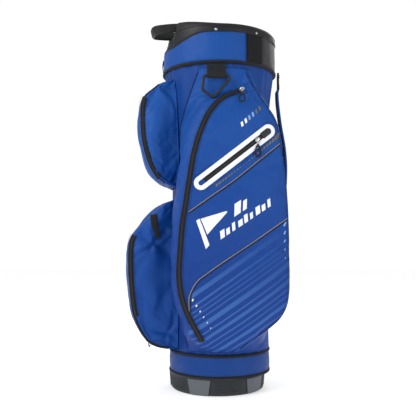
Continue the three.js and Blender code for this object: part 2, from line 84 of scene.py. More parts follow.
BASE_RADIUS = 0.117
BASE_FLARE = 0.003
BASE_HEIGHT = 0.038
BASE_OFFSET = np.array([0, -0.005, 0])
SLEEVE_RADIUS = 0.1132
BAND = {"low": 0.0475, "high": 0.09, "inner": 0.1186, "outer": 0.1245}
BINDING = {"radius": 0.1225, "thick": 0.0032, "heights": (0.0438, 0.0936)}
BARREL = {"low": 0.0972, "high": 0.7845}
COLLAR = {"low": 0.785, "inner": 0.1362, "outer": 0.1405, "piping": 0.780}
RIM = {"inner": 0.124, "outer": 0.142, "low": 0.851, "high": 0.873, "drop": 0.024, "rise": 0.017}
RECESS = {"full": 19, "end": 30, "outer": 0.030, "inner": 0.017}
HANDLE = {
    "root": 0.036, "tip": 0.021, "root_z": 0.888, "tip_z": 0.881, "height": 0.021, "thick": 0.007,
    "reach": 0.170,
}
PANEL_EDGE = 27  # where the collar's front panel ends
PATCH_EDGE = 46  # where the collar's leather patch starts
RIVETS = (-105, -75, -4, 38, 142, 184)

POCKET_TURN = math.radians(12)
POCKET_LOW = 0.104
POCKET_HIGH = 0.766
EDGE_DROP = 0.006
FRONT_ROOT = math.radians(37)  # how far from the front the front pockets meet the barrel
FIRST_BLOCK, BLOCK_STEP = -23, 72  # angles of the base's five grey blocks
WEAVE = 0.0011  # distance between the yarns of the bag's fabric
WEBBING_WEAVE = 0.0016
THREAD_RADIUS = 0.00042
SHELL_THICK = 0.0016
PIPING_INSET = 0.0035  # how far the front pockets' piping is from their walls' outer edge
WRAP_RADIUS = 0.14  # the radius at which angles round the bag are taken as lengths
SKIN_GAP = 0.001  # how far off the barrel's skin a pocket's walls start

VALUABLES_FROM = np.array([-0.081, 0.492])
VALUABLES_TO = np.array([0.079, 0.616])
VALUABLES_REST = (0.052, 0.595)
VALUABLES = {"outer": 0.016, "slot": 0.0055, "thick": 0.002}
ZIP_WIDTH = 0.0125
ZIP_CENTRE = (0.064, 0.568)
ZIP_RADIUS = 0.152
ZIP_REST = math.radians(107)
SLIDER = {"length": 0.013, "width": 0.008, "thick": 0.004, "lift": 0.0031}
PULLER = {"length": 0.034, "width": 0.020, "cord": 0.0036}
TOWEL_RING = {"x": 0.146, "z": 0.745, "tilt": math.radians(9)}
STRAP = {"half": 0.019, "thick": 0.0035, "low": 0.335, "high": 0.740}


# ---------------------------------------------------------------- small tools


def smoothstep(x, low, high):
    s = np.clip((np.asarray(x, float) - low) / (high - low), 0, 1)
    return s * s * (3 - 2 * s)


def through(*knots):
    """A smooth function through a few (height, value) knots, for one height or an array of them."""
    place, value = np.array(knots, float).T
    slope = np.empty_like(place)
    slope[1:-1] = (value[2:] - value[:-2]) / (place[2:] - place[:-2])
    slope[0] = (value[1] - value[0]) / (place[1] - place[0])
    slope[-1] = (value[-1] - value[-2]) / (place[-1] - place[-2])

    def at(z):
        z = np.clip(z, place[0], place[-1])
        i = np.clip(np.searchsorted(place, z, side="right") - 1, 0, len(place) - 2)
        span = place[i + 1] - place[i]
        s = (z - place[i]) / span
        a, b = value[i], value[i + 1]
        start, end = slope[i] * span, slope[i + 1] * span
        bend = 3 * (b - a) - 2 * start - end + s * (2 * (a - b) + start + end)
        return a + s * (start + s * bend)

    return at


def travelled(points):
    """The distance along a line at each of its points."""
    return np.concatenate([[0], np.cumsum(np.linalg.norm(np.diff(points, axis=0), axis=1))])


def curve(points, count, closed=False):
    """Points evenly spread along a smooth curve through a few given ones."""
    points = np.array(points, float)
    if closed:
        points = np.vstack([points[-2:], points, points[:3]])
    travel = travelled(points)
    axes = [through(*zip(travel, points[:, k])) for k in range(points.shape[1])]
    low, high = (travel[2], travel[-3]) if closed else (0, travel[-1])
    fine = np.stack([axis(np.linspace(low, high, 12 * count)) for axis in axes], axis=1)
    return spaced(fine, count, closed)


def spaced(points, count, closed=False):
    """The same line with its points evenly spaced."""
    points = np.array(points, float)
    travel = travelled(points)
    wanted = np.linspace(0, travel[-1], count, endpoint=not closed)
    return np.stack([np.interp(wanted, travel, axis) for axis in points.T], axis=1)


def polar(radius, angle, z):
    turn = np.radians(angle)
    return np.stack(np.broadcast_arrays(radius * np.cos(turn), radius * np.sin(turn), z), axis=-1)


def radial(angle):
    """The level direction away from the bag's middle."""
    return polar(1.0, angle, 0.0)


def circle(count):
    return np.linspace(0, 2 * np.pi, count, endpoint=False)


def squared(wave, power):
    """A sine or cosine made squarer, with its sign kept."""
    return np.sign(wave) * np.abs(wave) ** power


def unit(vectors):
    vectors = np.asarray(vectors, float)
    return vectors / np.maximum(np.linalg.norm(vectors, axis=-1, keepdims=True), 1e-12)


def tangents(path, closed=False):
    if closed:
        return unit(np.roll(path, -1, axis=0) - np.roll(path, 1, axis=0))
    return unit(np.gradient(path, axis=0))


def grid_normals(points):
    """Outward normals of a grid whose columns run anticlockwise and whose rows run up."""
    across = np.gradient(points, axis=1)
    up = np.gradient(points, axis=0)
    return unit(np.cross(across, up))


def ripples(points, wavelength, count=7, seed=1):
    """A smooth, irregular height between about -1 and 1 at each point."""
    rng = np.random.default_rng(seed)
    ways = unit(rng.normal(size=(count, 3)))
    lengths = wavelength * rng.uniform(0.6, 1.5, count)
    phases = rng.uniform(0, 2 * np.pi, count)
    waves = np.sin(2 * np.pi * (points @ (ways / lengths[:, None]).T) + phases)
    return waves.sum(axis=-1) / math.sqrt(count) / 1.4


def distance_to(points, path):
    """The distance from each point to the nearest point of a finely spaced path."""
    gaps = np.linalg.norm(points[..., None, :] - path, axis=-1)
    return gaps.min(axis=-1)


# ---------------------------------------------------------------- making pieces


def piece(
    name, vertices, faces, material, body="root", stands_for=(), slot=None, sharp=38, closed=False,
):
    """One mesh object on its body. sharp is the angle, in degrees, from which an edge is sharp."""
    mesh = bpy.data.meshes.new(name)
    mesh.from_pydata([tuple(map(float, v)) for v in vertices], [], faces)
    if closed:
        face_outwards(mesh)
    mesh.update()
    mesh.shade_smooth()
    mesh.set_sharp_from_angle(angle=math.radians(sharp))
    mesh.materials.append(material)
    obj = bpy.data.objects.new(name, mesh)
    bpy.context.scene.collection.objects.link(obj)
    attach(obj, body)
    if stands_for:
        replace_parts(obj, *stands_for)
    if slot:
        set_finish(obj, slot)
    return obj


def face_outwards(mesh):
    solid = bmesh.new()
    solid.from_mesh(mesh)
    bmesh.ops.recalc_face_normals(solid, faces=solid.faces)
    solid.to_mesh(mesh)
    solid.free()


def grid_faces(rows, columns, close_rows=False, close_columns=False):
    faces = []
    for i in range(rows if close_rows else rows - 1):
        for j in range(columns if close_columns else columns - 1):
            k, m = (i + 1) % rows, (j + 1) % columns
            faces.append((i * columns + j, i * columns + m, k * columns + m, k * columns + j))
    return faces


def ring_faces(count, around, close_rings=False):
    faces = grid_faces(count, around, close_rows=close_rings, close_columns=True)
    if not close_rings:
        faces.append(tuple(reversed(range(around))))
        faces.append(tuple(range((count - 1) * around, count * around)))
    return faces


def sheet_piece(name, points, material, thickness, subdivide=0, close_columns=False, **facts):
    """A grid of points as fabric: its outer side is the grid, and its thickness goes inwards."""
    faces = grid_faces(*points.shape[:2], close_columns=close_columns)
    obj = piece(name, points.reshape(-1, 3), faces, material, **facts)
    thicken(obj, thickness, subdivide)
    return obj


def thicken(obj, thickness, subdivide=0):
    if subdivide:
        smooth = obj.modifiers.new("smooth", "SUBSURF")
        smooth.levels = smooth.render_levels = subdivide
    solid = obj.modifiers.new("thickness", "SOLIDIFY")
    solid.thickness = thickness
    solid.offset = -1


def bevel(obj, width, segments=2):
    edge = obj.modifiers.new("edges", "BEVEL")
    edge.width = width
    edge.segments = segments
    edge.limit_method = "ANGLE"
    edge.angle_limit = math.radians(35)


def ring_piece(name, rings, material, close_rings=False, **facts):
    """A stack of closed rings, with its ends filled."""
    rings = np.asarray(rings, float)
    faces = ring_faces(*rings.shape[:2], close_rings)
    return piece(name, rings.reshape(-1, 3), faces, material, closed=True, **facts)


def sweep_rings(path, out, section, closed=False):
    """Places a (side, out) section at every point of a path."""
    path = np.asarray(path, float)
    forward = tangents(path, closed)
    out = np.broadcast_to(np.asarray(out, float), path.shape)
    out = unit(out - (out * forward).sum(-1, keepdims=True) * forward)
    side = np.cross(out, forward)
    section = np.asarray(section, float)
    if section.ndim == 2:
        section = np.broadcast_to(section, (len(path),) + section.shape)
    return path[:, None] + section[..., :1] * side[:, None] + section[..., 1:] * out[:, None]


def sweep(name, path, out, section, material, closed=False, **facts):
    rings = sweep_rings(path, out, section, closed)
    return ring_piece(name, rings, material, close_rings=closed, **facts)


def round_section(radius, count=10):
    turn = circle(count)
    return np.stack([radius * np.cos(turn), radius * np.sin(turn)], axis=1)


def flat_section(width, thick, corner=None, lift=0.0):
    """A flat strap's section with rounded corners, lying on its underside."""
    corner = min(width, thick) * 0.45 if corner is None else corner
    points = []
    for sx, sy, start in ((1, -1, -90), (1, 1, 0), (-1, 1, 90), (-1, -1, 180)):
        for step in range(3):
            turn = math.radians(start + 45 * step)
            x = sx * (width / 2 - corner) + corner * math.cos(turn)
            y = sy * (thick / 2 - corner) + corner * math.sin(turn)
            points.append((x, y + thick / 2 + lift))
    return np.array(points)


def joined(name, groups, material, **facts):
    """Many small closed solids, each a stack of rings, as one piece."""
    vertices, faces = [], []
    for rings in groups:
        start = len(vertices)
        vertices.extend(rings.reshape(-1, 3))
        faces.extend(tuple(start + k for k in face) for face in ring_faces(*rings.shape[:2]))
    return piece(name, vertices, faces, material, closed=True, **facts)


def along_path(path, out, spacing, length, section, lift=0.0):
    """Short pieces of a section along a path, such as stitches: thinner at their ends."""
    path = np.asarray(path, float)
    out = np.broadcast_to(np.asarray(out, float), path.shape)
    travel = travelled(path)
    sections = np.asarray(section) * np.array([0.45, 1, 1, 0.45])[:, None, None]
    groups = []
    for middle in np.arange(spacing * 0.5, travel[-1] - length / 2, spacing):
        at = middle + length * np.array([-0.5, -0.25, 0.25, 0.5])
        spots = np.stack([np.interp(at, travel, path[:, k]) for k in range(3)], axis=1)
        ways = np.stack([np.interp(at, travel, out[:, k]) for k in range(3)], axis=1)
        groups.append(sweep_rings(spots + unit(ways) * lift, ways, sections))
    return groups


def stitches(name, path, out, material, spacing=0.0042, length=0.0030, lift=0.0001, **facts):
    groups = along_path(path, out, spacing, length, round_section(THREAD_RADIUS, 6), lift)
    return joined(name, groups, material, sharp=80, **facts)


def places_of(mesh):
    """The places of a mesh's vertices."""
    places = np.empty(len(mesh.vertices) * 3)
    mesh.vertices.foreach_get("co", places)
    return places.reshape(-1, 3)


def mirrored(obj, name, body=None, stands_for=()):
    """The same piece on the far side of the bag."""
    mesh = obj.data.copy()
    mesh.name = name
    mesh.vertices.foreach_set("co", (places_of(mesh) * (-1, 1, 1)).ravel())
    mesh.flip_normals()
    mesh.update()
    copy = bpy.data.objects.new(name, mesh)
    bpy.context.scene.collection.objects.link(copy)
    for old in obj.modifiers:
        new = copy.modifiers.new(old.name, old.type)
        for key in (
            "levels", "render_levels", "thickness", "offset", "width", "segments", "limit_method",
            "angle_limit",
        ):
            if hasattr(old, key):
                setattr(new, key, getattr(old, key))
    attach(copy, body or obj["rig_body"])
    if stands_for:
        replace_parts(copy, *stands_for)
    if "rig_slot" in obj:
        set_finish(copy, obj["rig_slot"])
    return copy


def both_sides(obj, stands_for=()):
    """Copies a near piece to the far side, under the far name."""
    return mirrored(obj, obj.name.replace("near", "far"), stands_for=stands_for)


def filled_by_cloth(obj, held, slack, most, frames=14):
    """Lets a sewn panel swell and crease between its seams.

    held is 1 where a vertex is sewn down, slack is how much the cloth may grow, and most is the
    furthest that a vertex may move.
    """
    mesh = obj.data
    before = places_of(mesh)
    group = obj.vertex_groups.new(name="held")
    for index, weight in enumerate(np.ravel(held)):
        if weight > 0:
            group.add([index], float(weight), "REPLACE")
    others = list(obj.modifiers)
    for other in others:
        other.show_viewport = False
    cloth = obj.modifiers.new("cloth", "CLOTH")
    settings = cloth.settings
    settings.quality = 6
    settings.mass = 0.15
    settings.tension_stiffness = 12
    settings.compression_stiffness = 12
    settings.shear_stiffness = 5
    settings.bending_stiffness = 0.08
    settings.use_pressure = True
    settings.uniform_pressure_force = 0.9
    settings.vertex_group_mass = "held"
    settings.shrink_min = -slack
    settings.effector_weights.gravity = 0
    cloth.collision_settings.use_collision = False
    scene = bpy.context.scene
    for step in range(1, frames + 1):
        scene.frame_set(step)
    shape = obj.evaluated_get(bpy.context.evaluated_depsgraph_get()).to_mesh()
    move = places_of(shape) - before
    far = np.linalg.norm(move, axis=1, keepdims=True)
    move *= most * np.tanh(far / most) / np.maximum(far, 1e-9)
    obj.modifiers.remove(cloth)
    obj.vertex_groups.remove(group)
    for other in others:
        other.show_viewport = True
    mesh.vertices.foreach_set("co", (before + move).ravel())
    mesh.update()
    scene.frame_set(1)


# ---------------------------------------------------------------- materials


def srgb(red, green, blue):
    def linear(c):
        c /= 255
        return c / 12.92 if c <= 0.04045 else ((c + 0.055) / 1.055) ** 2.4

    return (linear(red), linear(green), linear(blue), 1)


def shade(colour, factor):
    return tuple(min(c * factor, 1) for c in colour[:3]) + (1,)


class Shader:
    """A material's node tree, with short calls for the nodes used here."""

    def __init__(self, name, roughness, metallic=0.0, specular=0.5, sheen=0.0):
        self.material = bpy.data.materials.new(name)
        self.material.use_nodes = True
        self.tree = self.material.node_tree
        self.surface = self.tree.nodes["Principled BSDF"]
        values = {
            "Roughness": roughness,
            "Metallic": metallic,
            "Specular IOR Level": specular,
            "Sheen Weight": sheen,
            "Sheen Roughness": 0.4,
        }
        for socket, value in values.items():
            self.surface.inputs[socket].default_value = value
        self.place = self.add("TexCoord").outputs["Object"]

    def add(self, kind, settings=None, **inputs):
        made = self.tree.nodes.new("ShaderNode" + kind)
        for key, value in (settings or {}).items():
            setattr(made, key, value)
        for key, value in inputs.items():
            self.feed(made.inputs[key], value)
        return made

    def feed(self, socket, value):
        if isinstance(value, bpy.types.NodeSocket):
            self.tree.links.new(value, socket)
        else:
            socket.default_value = value

    def math(self, operation, a, b=None, clamp=False):
        made = self.add("Math", {"operation": operation, "use_clamp": clamp})
        self.feed(made.inputs[0], a)
        if b is not None:
            self.feed(made.inputs[1], b)
        return made.outputs[0]

    def noise(self, scale, detail=3.0, place=None):
        made = self.add("TexNoise", Vector=place or self.place, Scale=scale, Detail=detail)
        return made.outputs["Fac"]

    def mix(self, factor, a, b, kind="MIX"):
        made = self.add("Mix", {"data_type": "RGBA", "blend_type": kind, "clamp_factor": True})
        self.feed(made.inputs[0], factor)
        self.feed(made.inputs[6], a)
        self.feed(made.inputs[7], b)
        return made.outputs[2]

    def fit(self, value, low, high, new_low=0.0, new_high=1.0):
        made = self.add("MapRange")
        for index, number in enumerate((value, low, high, new_low, new_high)):
            self.feed(made.inputs[index], number)
        return made.outputs[0]

    def split(self):
        made = self.add("SeparateXYZ", Vector=self.place)
        return made.outputs[0], made.outputs[1], made.outputs[2]

    def bump(self, height, distance, strength=1.0, under=None):
        made = self.add("Bump", Height=height, Distance=distance, Strength=strength)
        if under is not None:
            self.feed(made.inputs["Normal"], under)
        return made.outputs["Normal"]

    def done(self, colour, normal=None, roughness=None):
        self.feed(self.surface.inputs["Base Color"], colour)
        if normal is not None:
            self.feed(self.surface.inputs["Normal"], normal)
        if roughness is not None:
            self.feed(self.surface.inputs["Roughness"], roughness)
        return self.material


def weave_height(shader, spacing):
    """The height of a plain weave: one set of yarns goes up the bag and one goes round it."""
    x, y, z = shader.split()
    turn = shader.math("ARCTAN2", y, x)
    round_way = shader.math("MULTIPLY", turn, WRAP_RADIUS / spacing * 2 * math.pi)
    up_way = shader.math("MULTIPLY", z, 2 * math.pi / spacing)
    warp = shader.math("SINE", round_way)
    weft = shader.math("SINE", up_way)
    return shader.math("MULTIPLY", warp, weft)


def dyed(s, base, colour, clouds):
    """A fabric's colour: cloudy over the bag, with pale flecks in the weave."""
    cloud = s.fit(s.noise(9.0, 4.0), 0.3, 0.7)
    base = s.mix(s.math("MULTIPLY", cloud, clouds), base, shade(colour, 0.62))
    fleck = s.fit(s.noise(900.0, 2.0), 0.35, 0.65)
    return s.mix(s.math("MULTIPLY", fleck, 0.10), base, shade(colour, 1.5))


def woven(s, base, roughness, spacing):
    """A fabric's surface: soft creases, a fine plain weave and a slightly uneven shine."""
    creases = s.bump(s.noise(38.0, 5.0), 0.0006, 0.7)
    normal = s.bump(weave_height(s, spacing), 0.00012, 0.35, creases)
    rough = s.fit(s.noise(60.0, 3.0), 0.3, 0.7, roughness - 0.07, roughness + 0.07)
    return s.done(base, normal, rough)


def fabric(name, colour, shaded_low_colour=None, roughness=0.5, spacing=WEAVE):
    """Coated polyester, whose colour may turn to a darker one lower on the bag: a painted shade."""
    s = Shader(name, roughness, specular=0.2, sheen=0.02)
    _, _, z = s.split()
    base = colour
    # Painted shade: the blue darkens towards the lower part of the bag.
    if shaded_low_colour:
        base = s.mix(s.fit(z, 0.62, 0.30), colour, shaded_low_colour)
    return woven(s, dyed(s, base, colour, 0.22), roughness, spacing)


STRIPE_TILT = math.radians(34)
STRIPE_INK = 0.42
# Each printed stripe's middle and width, measured across the stripes.
STRIPES = (
    (0.254, 0.010), (0.233, 0.005), (0.221, 0.003), (0.211, 0.003), (0.200, 0.003), (0.184, 0.011),
    (0.166, 0.004), (0.152, 0.008), (0.137, 0.004), (0.125, 0.003), (0.111, 0.008), (0.095, 0.004),
    (0.081, 0.004),
)


def printed_fabric(name, colour, shaded_low_colour, stripe_colour):
    """The side pocket's fabric, with translucent slanted stripes printed below its lower piping."""
    roughness = 0.5
    s = Shader(name, roughness, specular=0.2, sheen=0.02)
    x, y, z = s.split()
    near = s.math("ABSOLUTE", x)
    t = s.math(
        "SUBTRACT",
        s.math("MULTIPLY", y, math.cos(POCKET_TURN)),
        s.math("MULTIPLY", near, math.sin(POCKET_TURN)),
    )
    rise, run = math.sin(STRIPE_TILT), math.cos(STRIPE_TILT)
    across = s.math("SUBTRACT", s.math("MULTIPLY", z, run), s.math("MULTIPLY", t, rise))
    along = s.math("ADD", s.math("MULTIPLY", t, run), s.math("MULTIPLY", z, rise))
    stripes = 0.0
    for middle, width in STRIPES:
        gap = s.math("ABSOLUTE", s.math("SUBTRACT", across, middle))
        stripes = s.math("MAXIMUM", stripes, s.fit(gap, width / 2, width / 2 - 0.0006))
    fade = s.fit(s.math("SUBTRACT", along, s.math("MULTIPLY", across, -0.55)), 0.46, 0.20)
    on_left = s.fit(t, -0.108, -0.100)
    stand = s.math(
        "ADD",
        s.math("MULTIPLY", near, math.cos(POCKET_TURN)),
        s.math("MULTIPLY", y, math.sin(POCKET_TURN)),
    )
    full = s.fit(z, POCKET_LOW, 0.21, 0.134, 0.165)
    on_front = s.fit(s.math("SUBTRACT", full, stand), 0.018, 0.013)
    seen = s.math("MULTIPLY", fade, on_front)
    mask = s.math("MULTIPLY", s.math("MULTIPLY", stripes, on_left), seen)

    # Painted shade: the blue darkens lower on the pocket, between heights 0.62 and 0.26.
    base = dyed(s, s.mix(s.fit(z, 0.62, 0.26), colour, shaded_low_colour), colour, 0.2)
    base = s.mix(s.math("MULTIPLY", mask, STRIPE_INK), base, stripe_colour)
    return woven(s, base, roughness, WEAVE)


def webbing(name, colour, spacing=0.0022, roughness=0.75):
    """Ribbed woven tape."""
    s = Shader(name, roughness, specular=0.3, sheen=0.04)
    fuzz = s.fit(s.noise(700.0, 3.0), 0.3, 0.7)
    base = s.mix(s.math("MULTIPLY", fuzz, 0.5), colour, shade(colour, 1.9))
    worn = s.fit(s.noise(30.0, 4.0), 0.45, 0.75)
    base = s.mix(s.math("MULTIPLY", worn, 0.25), base, shade(colour, 0.6))
    normal = s.bump(weave_height(s, spacing), 0.0004, 0.8)
    return s.done(base, normal)


def moulded(name, colour, grain=900.0, depth=0.00018, roughness=0.5, wear=0.35):
    """Moulded plastic with a fine spark-eroded grain, rubbed a little paler on its edges."""
    s = Shader(name, roughness, specular=0.35)
    grainy = s.noise(grain, 2.0)
    edges = s.add("NewGeometry").outputs["Pointiness"]
    rubbed = s.math("MULTIPLY", s.fit(edges, 0.52, 0.60), s.fit(s.noise(45.0, 4.0), 0.35, 0.7))
    base = s.mix(s.math("MULTIPLY", rubbed, wear), colour, shade(colour, 2.4))
    smudge = s.fit(s.noise(14.0, 4.0), 0.3, 0.7)
    base = s.mix(s.math("MULTIPLY", smudge, 0.18), base, shade(colour, 0.7))
    rough = s.fit(s.noise(25.0, 3.0), 0.3, 0.7, roughness - 0.08, roughness + 0.08)
    return s.done(base, s.bump(grainy, depth, 0.6), rough)


def leathery(name, colour):
    """Coated synthetic leather with a pebbled grain."""
    s = Shader(name, 0.5, specular=0.45, sheen=0.05)
    cells = s.add("TexVoronoi", {"feature": "DISTANCE_TO_EDGE"}, Vector=s.place, Scale=620.0)
    pebble = s.fit(cells.outputs["Distance"], 0.0, 0.25)
    groove = s.math("SUBTRACT", 1.0, pebble)
    base = s.mix(s.math("MULTIPLY", groove, 0.5), colour, shade(colour, 0.55))
    cloud = s.fit(s.noise(11.0, 4.0), 0.3, 0.7)
    base = s.mix(s.math("MULTIPLY", cloud, 0.2), base, shade(colour, 1.25))
    return s.done(base, s.bump(pebble, 0.0003, 0.7))


def polished(name, colour, roughness=0.22):
    """Plated or drawn metal with fine scratches."""
    s = Shader(name, roughness, metallic=1.0)
    x, y, z = s.split()
    stretched = s.add("CombineXYZ")
    s.feed(stretched.inputs[0], s.math("MULTIPLY", x, 40.0))
    s.feed(stretched.inputs[1], y)
    s.feed(stretched.inputs[2], z)
    scratch = s.noise(160.0, 4.0, stretched.outputs[0])
    rough = s.fit(scratch, 0.3, 0.7, roughness - 0.06, roughness + 0.12)
    dull = s.fit(s.noise(50.0, 3.0), 0.4, 0.7)
    base = s.mix(s.math("MULTIPLY", dull, 0.25), colour, shade(colour, 0.6))
    return s.done(base, s.bump(scratch, 0.00004, 0.4), rough)


def inked(name, colour, pale):
    """Screen-printed ink with a slightly uneven film."""
    s = Shader(name, 0.45, specular=0.5)
    patchy = s.fit(s.noise(240.0, 4.0), 0.25, 0.8)
    base = s.mix(s.math("MULTIPLY", patchy, 0.25), colour, pale)
    return s.done(base, s.bump(s.noise(500.0, 2.0), 0.00008, 0.4))


# A fabric's second blue is painted shade: the darker colour it turns to lower on the bag.
mats = {
    "collar": fabric("collar_fabric", srgb(17, 72, 148), spacing=WEBBING_WEAVE),
    "barrel": fabric("barrel_fabric", srgb(13, 61, 134), srgb(12, 53, 126)),
    "pocket": printed_fabric(
        "pocket_fabric", srgb(16, 73, 151), srgb(11, 54, 131), srgb(78, 128, 196),
    ),
    "front": fabric("front_pocket_fabric", srgb(18, 76, 154), srgb(15, 67, 145)),
    "band": fabric("band_fabric", srgb(14, 60, 131)),
    "strap": fabric("strap_fabric", srgb(17, 71, 147), spacing=WEBBING_WEAVE),
    "black": webbing("black_tape", srgb(22, 23, 26)),
    "panel": fabric("black_panel_fabric", srgb(13, 15, 20), spacing=WEBBING_WEAVE),
    "lining": fabric("divider_fabric", srgb(40, 42, 47), roughness=0.8, spacing=0.0018),
    "patch": leathery("grey_leather", srgb(40, 40, 46)),
    "rim": moulded("rim_plastic", srgb(17, 18, 21), roughness=0.5),
    "handle": moulded("handle_plastic", srgb(22, 23, 25), grain=700.0, depth=0.0003, roughness=0.5),
    "base": moulded("base_plastic", srgb(40, 44, 48), grain=420.0, depth=0.0006, roughness=0.6),
    "grey": moulded("grey_plastic", srgb(92, 96, 102), roughness=0.5),
    "buckle": moulded("buckle_plastic", srgb(28, 29, 32), roughness=0.42),
    "white": moulded(
        "white_weld_frame", srgb(240, 242, 245), grain=1200.0, depth=0.00006, roughness=0.4,
        wear=0.0,
    ),
    "coil": moulded("zip_coil", srgb(26, 27, 30), roughness=0.4),
    "steel": polished("steel", srgb(176, 178, 182), 0.3),
    "chrome": polished("chrome", srgb(205, 206, 210), 0.16),
    "thread": webbing("blue_thread", srgb(14, 44, 104), spacing=0.0006),
    "dark_thread": webbing("black_thread", srgb(14, 15, 18), spacing=0.0006),
    "piping": webbing("grey_piping", srgb(136, 132, 126), spacing=0.0012),
    # Painted shade: a dark blue for the shade in seams and the shadow under the piping.
    "shadow": fabric("seam_fabric", srgb(10, 22, 56)),
    "ink": inked("white_ink", srgb(240, 242, 245), srgb(206, 214, 228)),
    "grey_ink": inked("grey_ink", srgb(96, 96, 98), srgb(60, 76, 106)),
    "pale_ink": inked("pale_ink", srgb(120, 160, 214), srgb(90, 134, 198)),
}

# ---------------------------------------------------------------- camera


def add_camera():
    data = bpy.data.cameras.new("camera")
    data.sensor_width = 36
    data.lens = 55.7
    camera = bpy.data.objects.new("camera", data)
    camera.location = (1.627, -0.0286, 0.370)
    camera.rotation_euler = (math.radians(92.6), 0, math.radians(90))
    bpy.context.scene.collection.objects.link(camera)
    bpy.context.scene.camera = camera


add_camera()

# ---------------------------------------------------------------- the bag's surfaces

# Each goes by height. The edges are places along the near pocket's face, towards the spine.
barrel_radius = through(
    (0.093, 0.124), (0.26, 0.1205), (0.43, 0.119), (0.56, 0.121), (0.70, 0.129), (0.78, 0.1385),
)
zip_edge = through(
    (0.104, -0.044), (0.135, -0.084), (0.20, -0.117), (0.25, -0.134), (0.292, -0.137), (0.40, -0.130),
    (0.50, -0.115), (0.60, -0.094), (0.647, -0.074), (0.68, -0.050), (0.70, -0.022), (0.716, 0.014),
    (0.766, 0.026),
)
seam_edge = through(
    (0.104, 0.012), (0.14, 0.060), (0.18, 0.110), (0.225, 0.131), (0.32, 0.134), (0.46, 0.130),
    (0.56, 0.120), (0.64, 0.103), (0.69, 0.074), (0.74, 0.042), (0.766, 0.034),
)
gusset_angle = through(
    (0.104, -36), (0.20, -48), (0.62, -49), (0.644, -46), (0.68, -39), (0.72, -30), (0.766, -20),
)
pocket_depth = through(
    (0.104, 0.134), (0.15, 0.152), (0.23, 0.165), (0.62, 0.165), (0.68, 0.158), (0.716, 0.151),
    (0.745, 0.144), (0.766, 0.142),
)
gusset_bulge = through(
    (0.104, 0.002), (0.16, 0.010), (0.24, 0.015), (0.45, 0.016), (0.60, 0.013), (0.68, 0.006),
    (0.766, 0.001),
)
# How far the front pockets reach forwards from the bag's middle.
upper_reach = through(
    (0.488, 0.122), (0.50, 0.138), (0.515, 0.156), (0.55, 0.176), (0.60, 0.190), (0.64, 0.194),
    (0.695, 0.193), (0.712, 0.184), (0.735, 0.156), (0.752, 0.138),
)
lower_reach = through(
    (0.101, 0.127), (0.112, 0.158), (0.13, 0.181), (0.175, 0.206), (0.222, 0.216), (0.30, 0.222),
    (0.36, 0.219), (0.385, 0.205), (0.426, 0.162), (0.45, 0.136), (0.464, 0.122),
)

FACE_OUT = np.array([math.cos(POCKET_TURN), math.sin(POCKET_TURN), 0])
FACE_ALONG = np.array([-math.sin(POCKET_TURN), math.cos(POCKET_TURN), 0])


def face_depth(t, z):
    """How far the pocket's face stands out: full in the middle, lower towards its edges."""
    middle = (zip_edge(z) + seam_edge(z)) / 2
    half = (seam_edge(z) - zip_edge(z)) / 2
    out = np.minimum(np.abs(t - middle) / half, 1)
    return pocket_depth(z) - EDGE_DROP * out**4


def on_face(t, z, lift=0.0):
    """A point of the near pocket's face: t runs along it towards the spine."""
    t, z = np.broadcast_arrays(np.asarray(t, float), np.asarray(z, float))
    depth = face_depth(t, z) + lift
    point = depth[..., None] * FACE_OUT + t[..., None] * FACE_ALONG
    point[..., 2] = z
    return point


def face_normal(t, z, step=0.002):
    along = on_face(t + step, z) - on_face(t - step, z)
    up = on_face(t, z + step) - on_face(t, z - step)
    return unit(np.cross(along, up))


# Lines on the near pocket's face, as (along, height) places.
ZIP_ROUTE = (
    (0.024, 0.716), (0.003, 0.706), (-0.025, 0.693), (-0.045, 0.675), (-0.065, 0.647), (-0.085, 0.600),
    (-0.098, 0.552), (-0.107, 0.499), (-0.115, 0.447), (-0.123, 0.396), (-0.127, 0.344), (-0.130, 0.292),
    (-0.127, 0.255), (-0.121, 0.229), (-0.110, 0.199), (-0.091, 0.164), (-0.073, 0.133),
)
PIPING_HIGH = ((-0.108, 0.427), (-0.056, 0.464), (-0.004, 0.500), (0.054, 0.546), (0.107, 0.5875))
PIPING_LOW = (
    (0.1235, 0.413), (0.085, 0.388), (0.040, 0.358), (-0.004, 0.330), (-0.044, 0.304), (-0.070, 0.286),
    (-0.088, 0.272), (-0.100, 0.254), (-0.107, 0.234), (-0.106, 0.203),
)

# ---------------------------------------------------------------- side pockets


def closing(z, low, high, over):
    """1 in the middle of a pocket's height, falling to 0 in a quarter round at its ends."""
    ends = np.clip(np.minimum(z - low, high - z) / over, 0, 1)
    return np.sqrt(1 - (1 - ends) ** 2)


def eased(points, rounds):
    """Rounds the corners of each row by averaging neighbours, with the row's two ends held."""
    for _ in range(rounds):
        points[:, 1:-1] = points[:, 1:-1] / 2 + (points[:, :-2] + points[:, 2:]) / 4
    return points


def pulled_in(points, z, low, high, over, clearance=0.002):
    """Draws a shell in to the barrel at its two ends, and keeps it outside the barrel."""
    radius = np.hypot(points[..., 0], points[..., 1])
    skin = barrel_radius(z) + clearance
    wanted = skin + np.maximum(radius - skin, 0) * closing(z, low, high, over)
    points[..., :2] *= (wanted / radius)[..., None]
    return points


def plan_normal(way):
    """The level direction to the right of a run in plan."""
    return unit(np.stack([way[..., 1], -way[..., 0], np.zeros(way.shape[:-1])], axis=-1))


def fanned_creases(t, z, centre, reach, count, depth):
    """Creases that fan out from a gathered point."""
    dt, dz = t - centre[0], z - centre[1]
    away = np.hypot(dt, dz)
    wave = np.sin(np.arctan2(dz, dt) * count + 1.5 * away / reach)
    return depth * wave * np.exp(-((away / reach) ** 2)) * smoothstep(away, 0.002, 0.012)


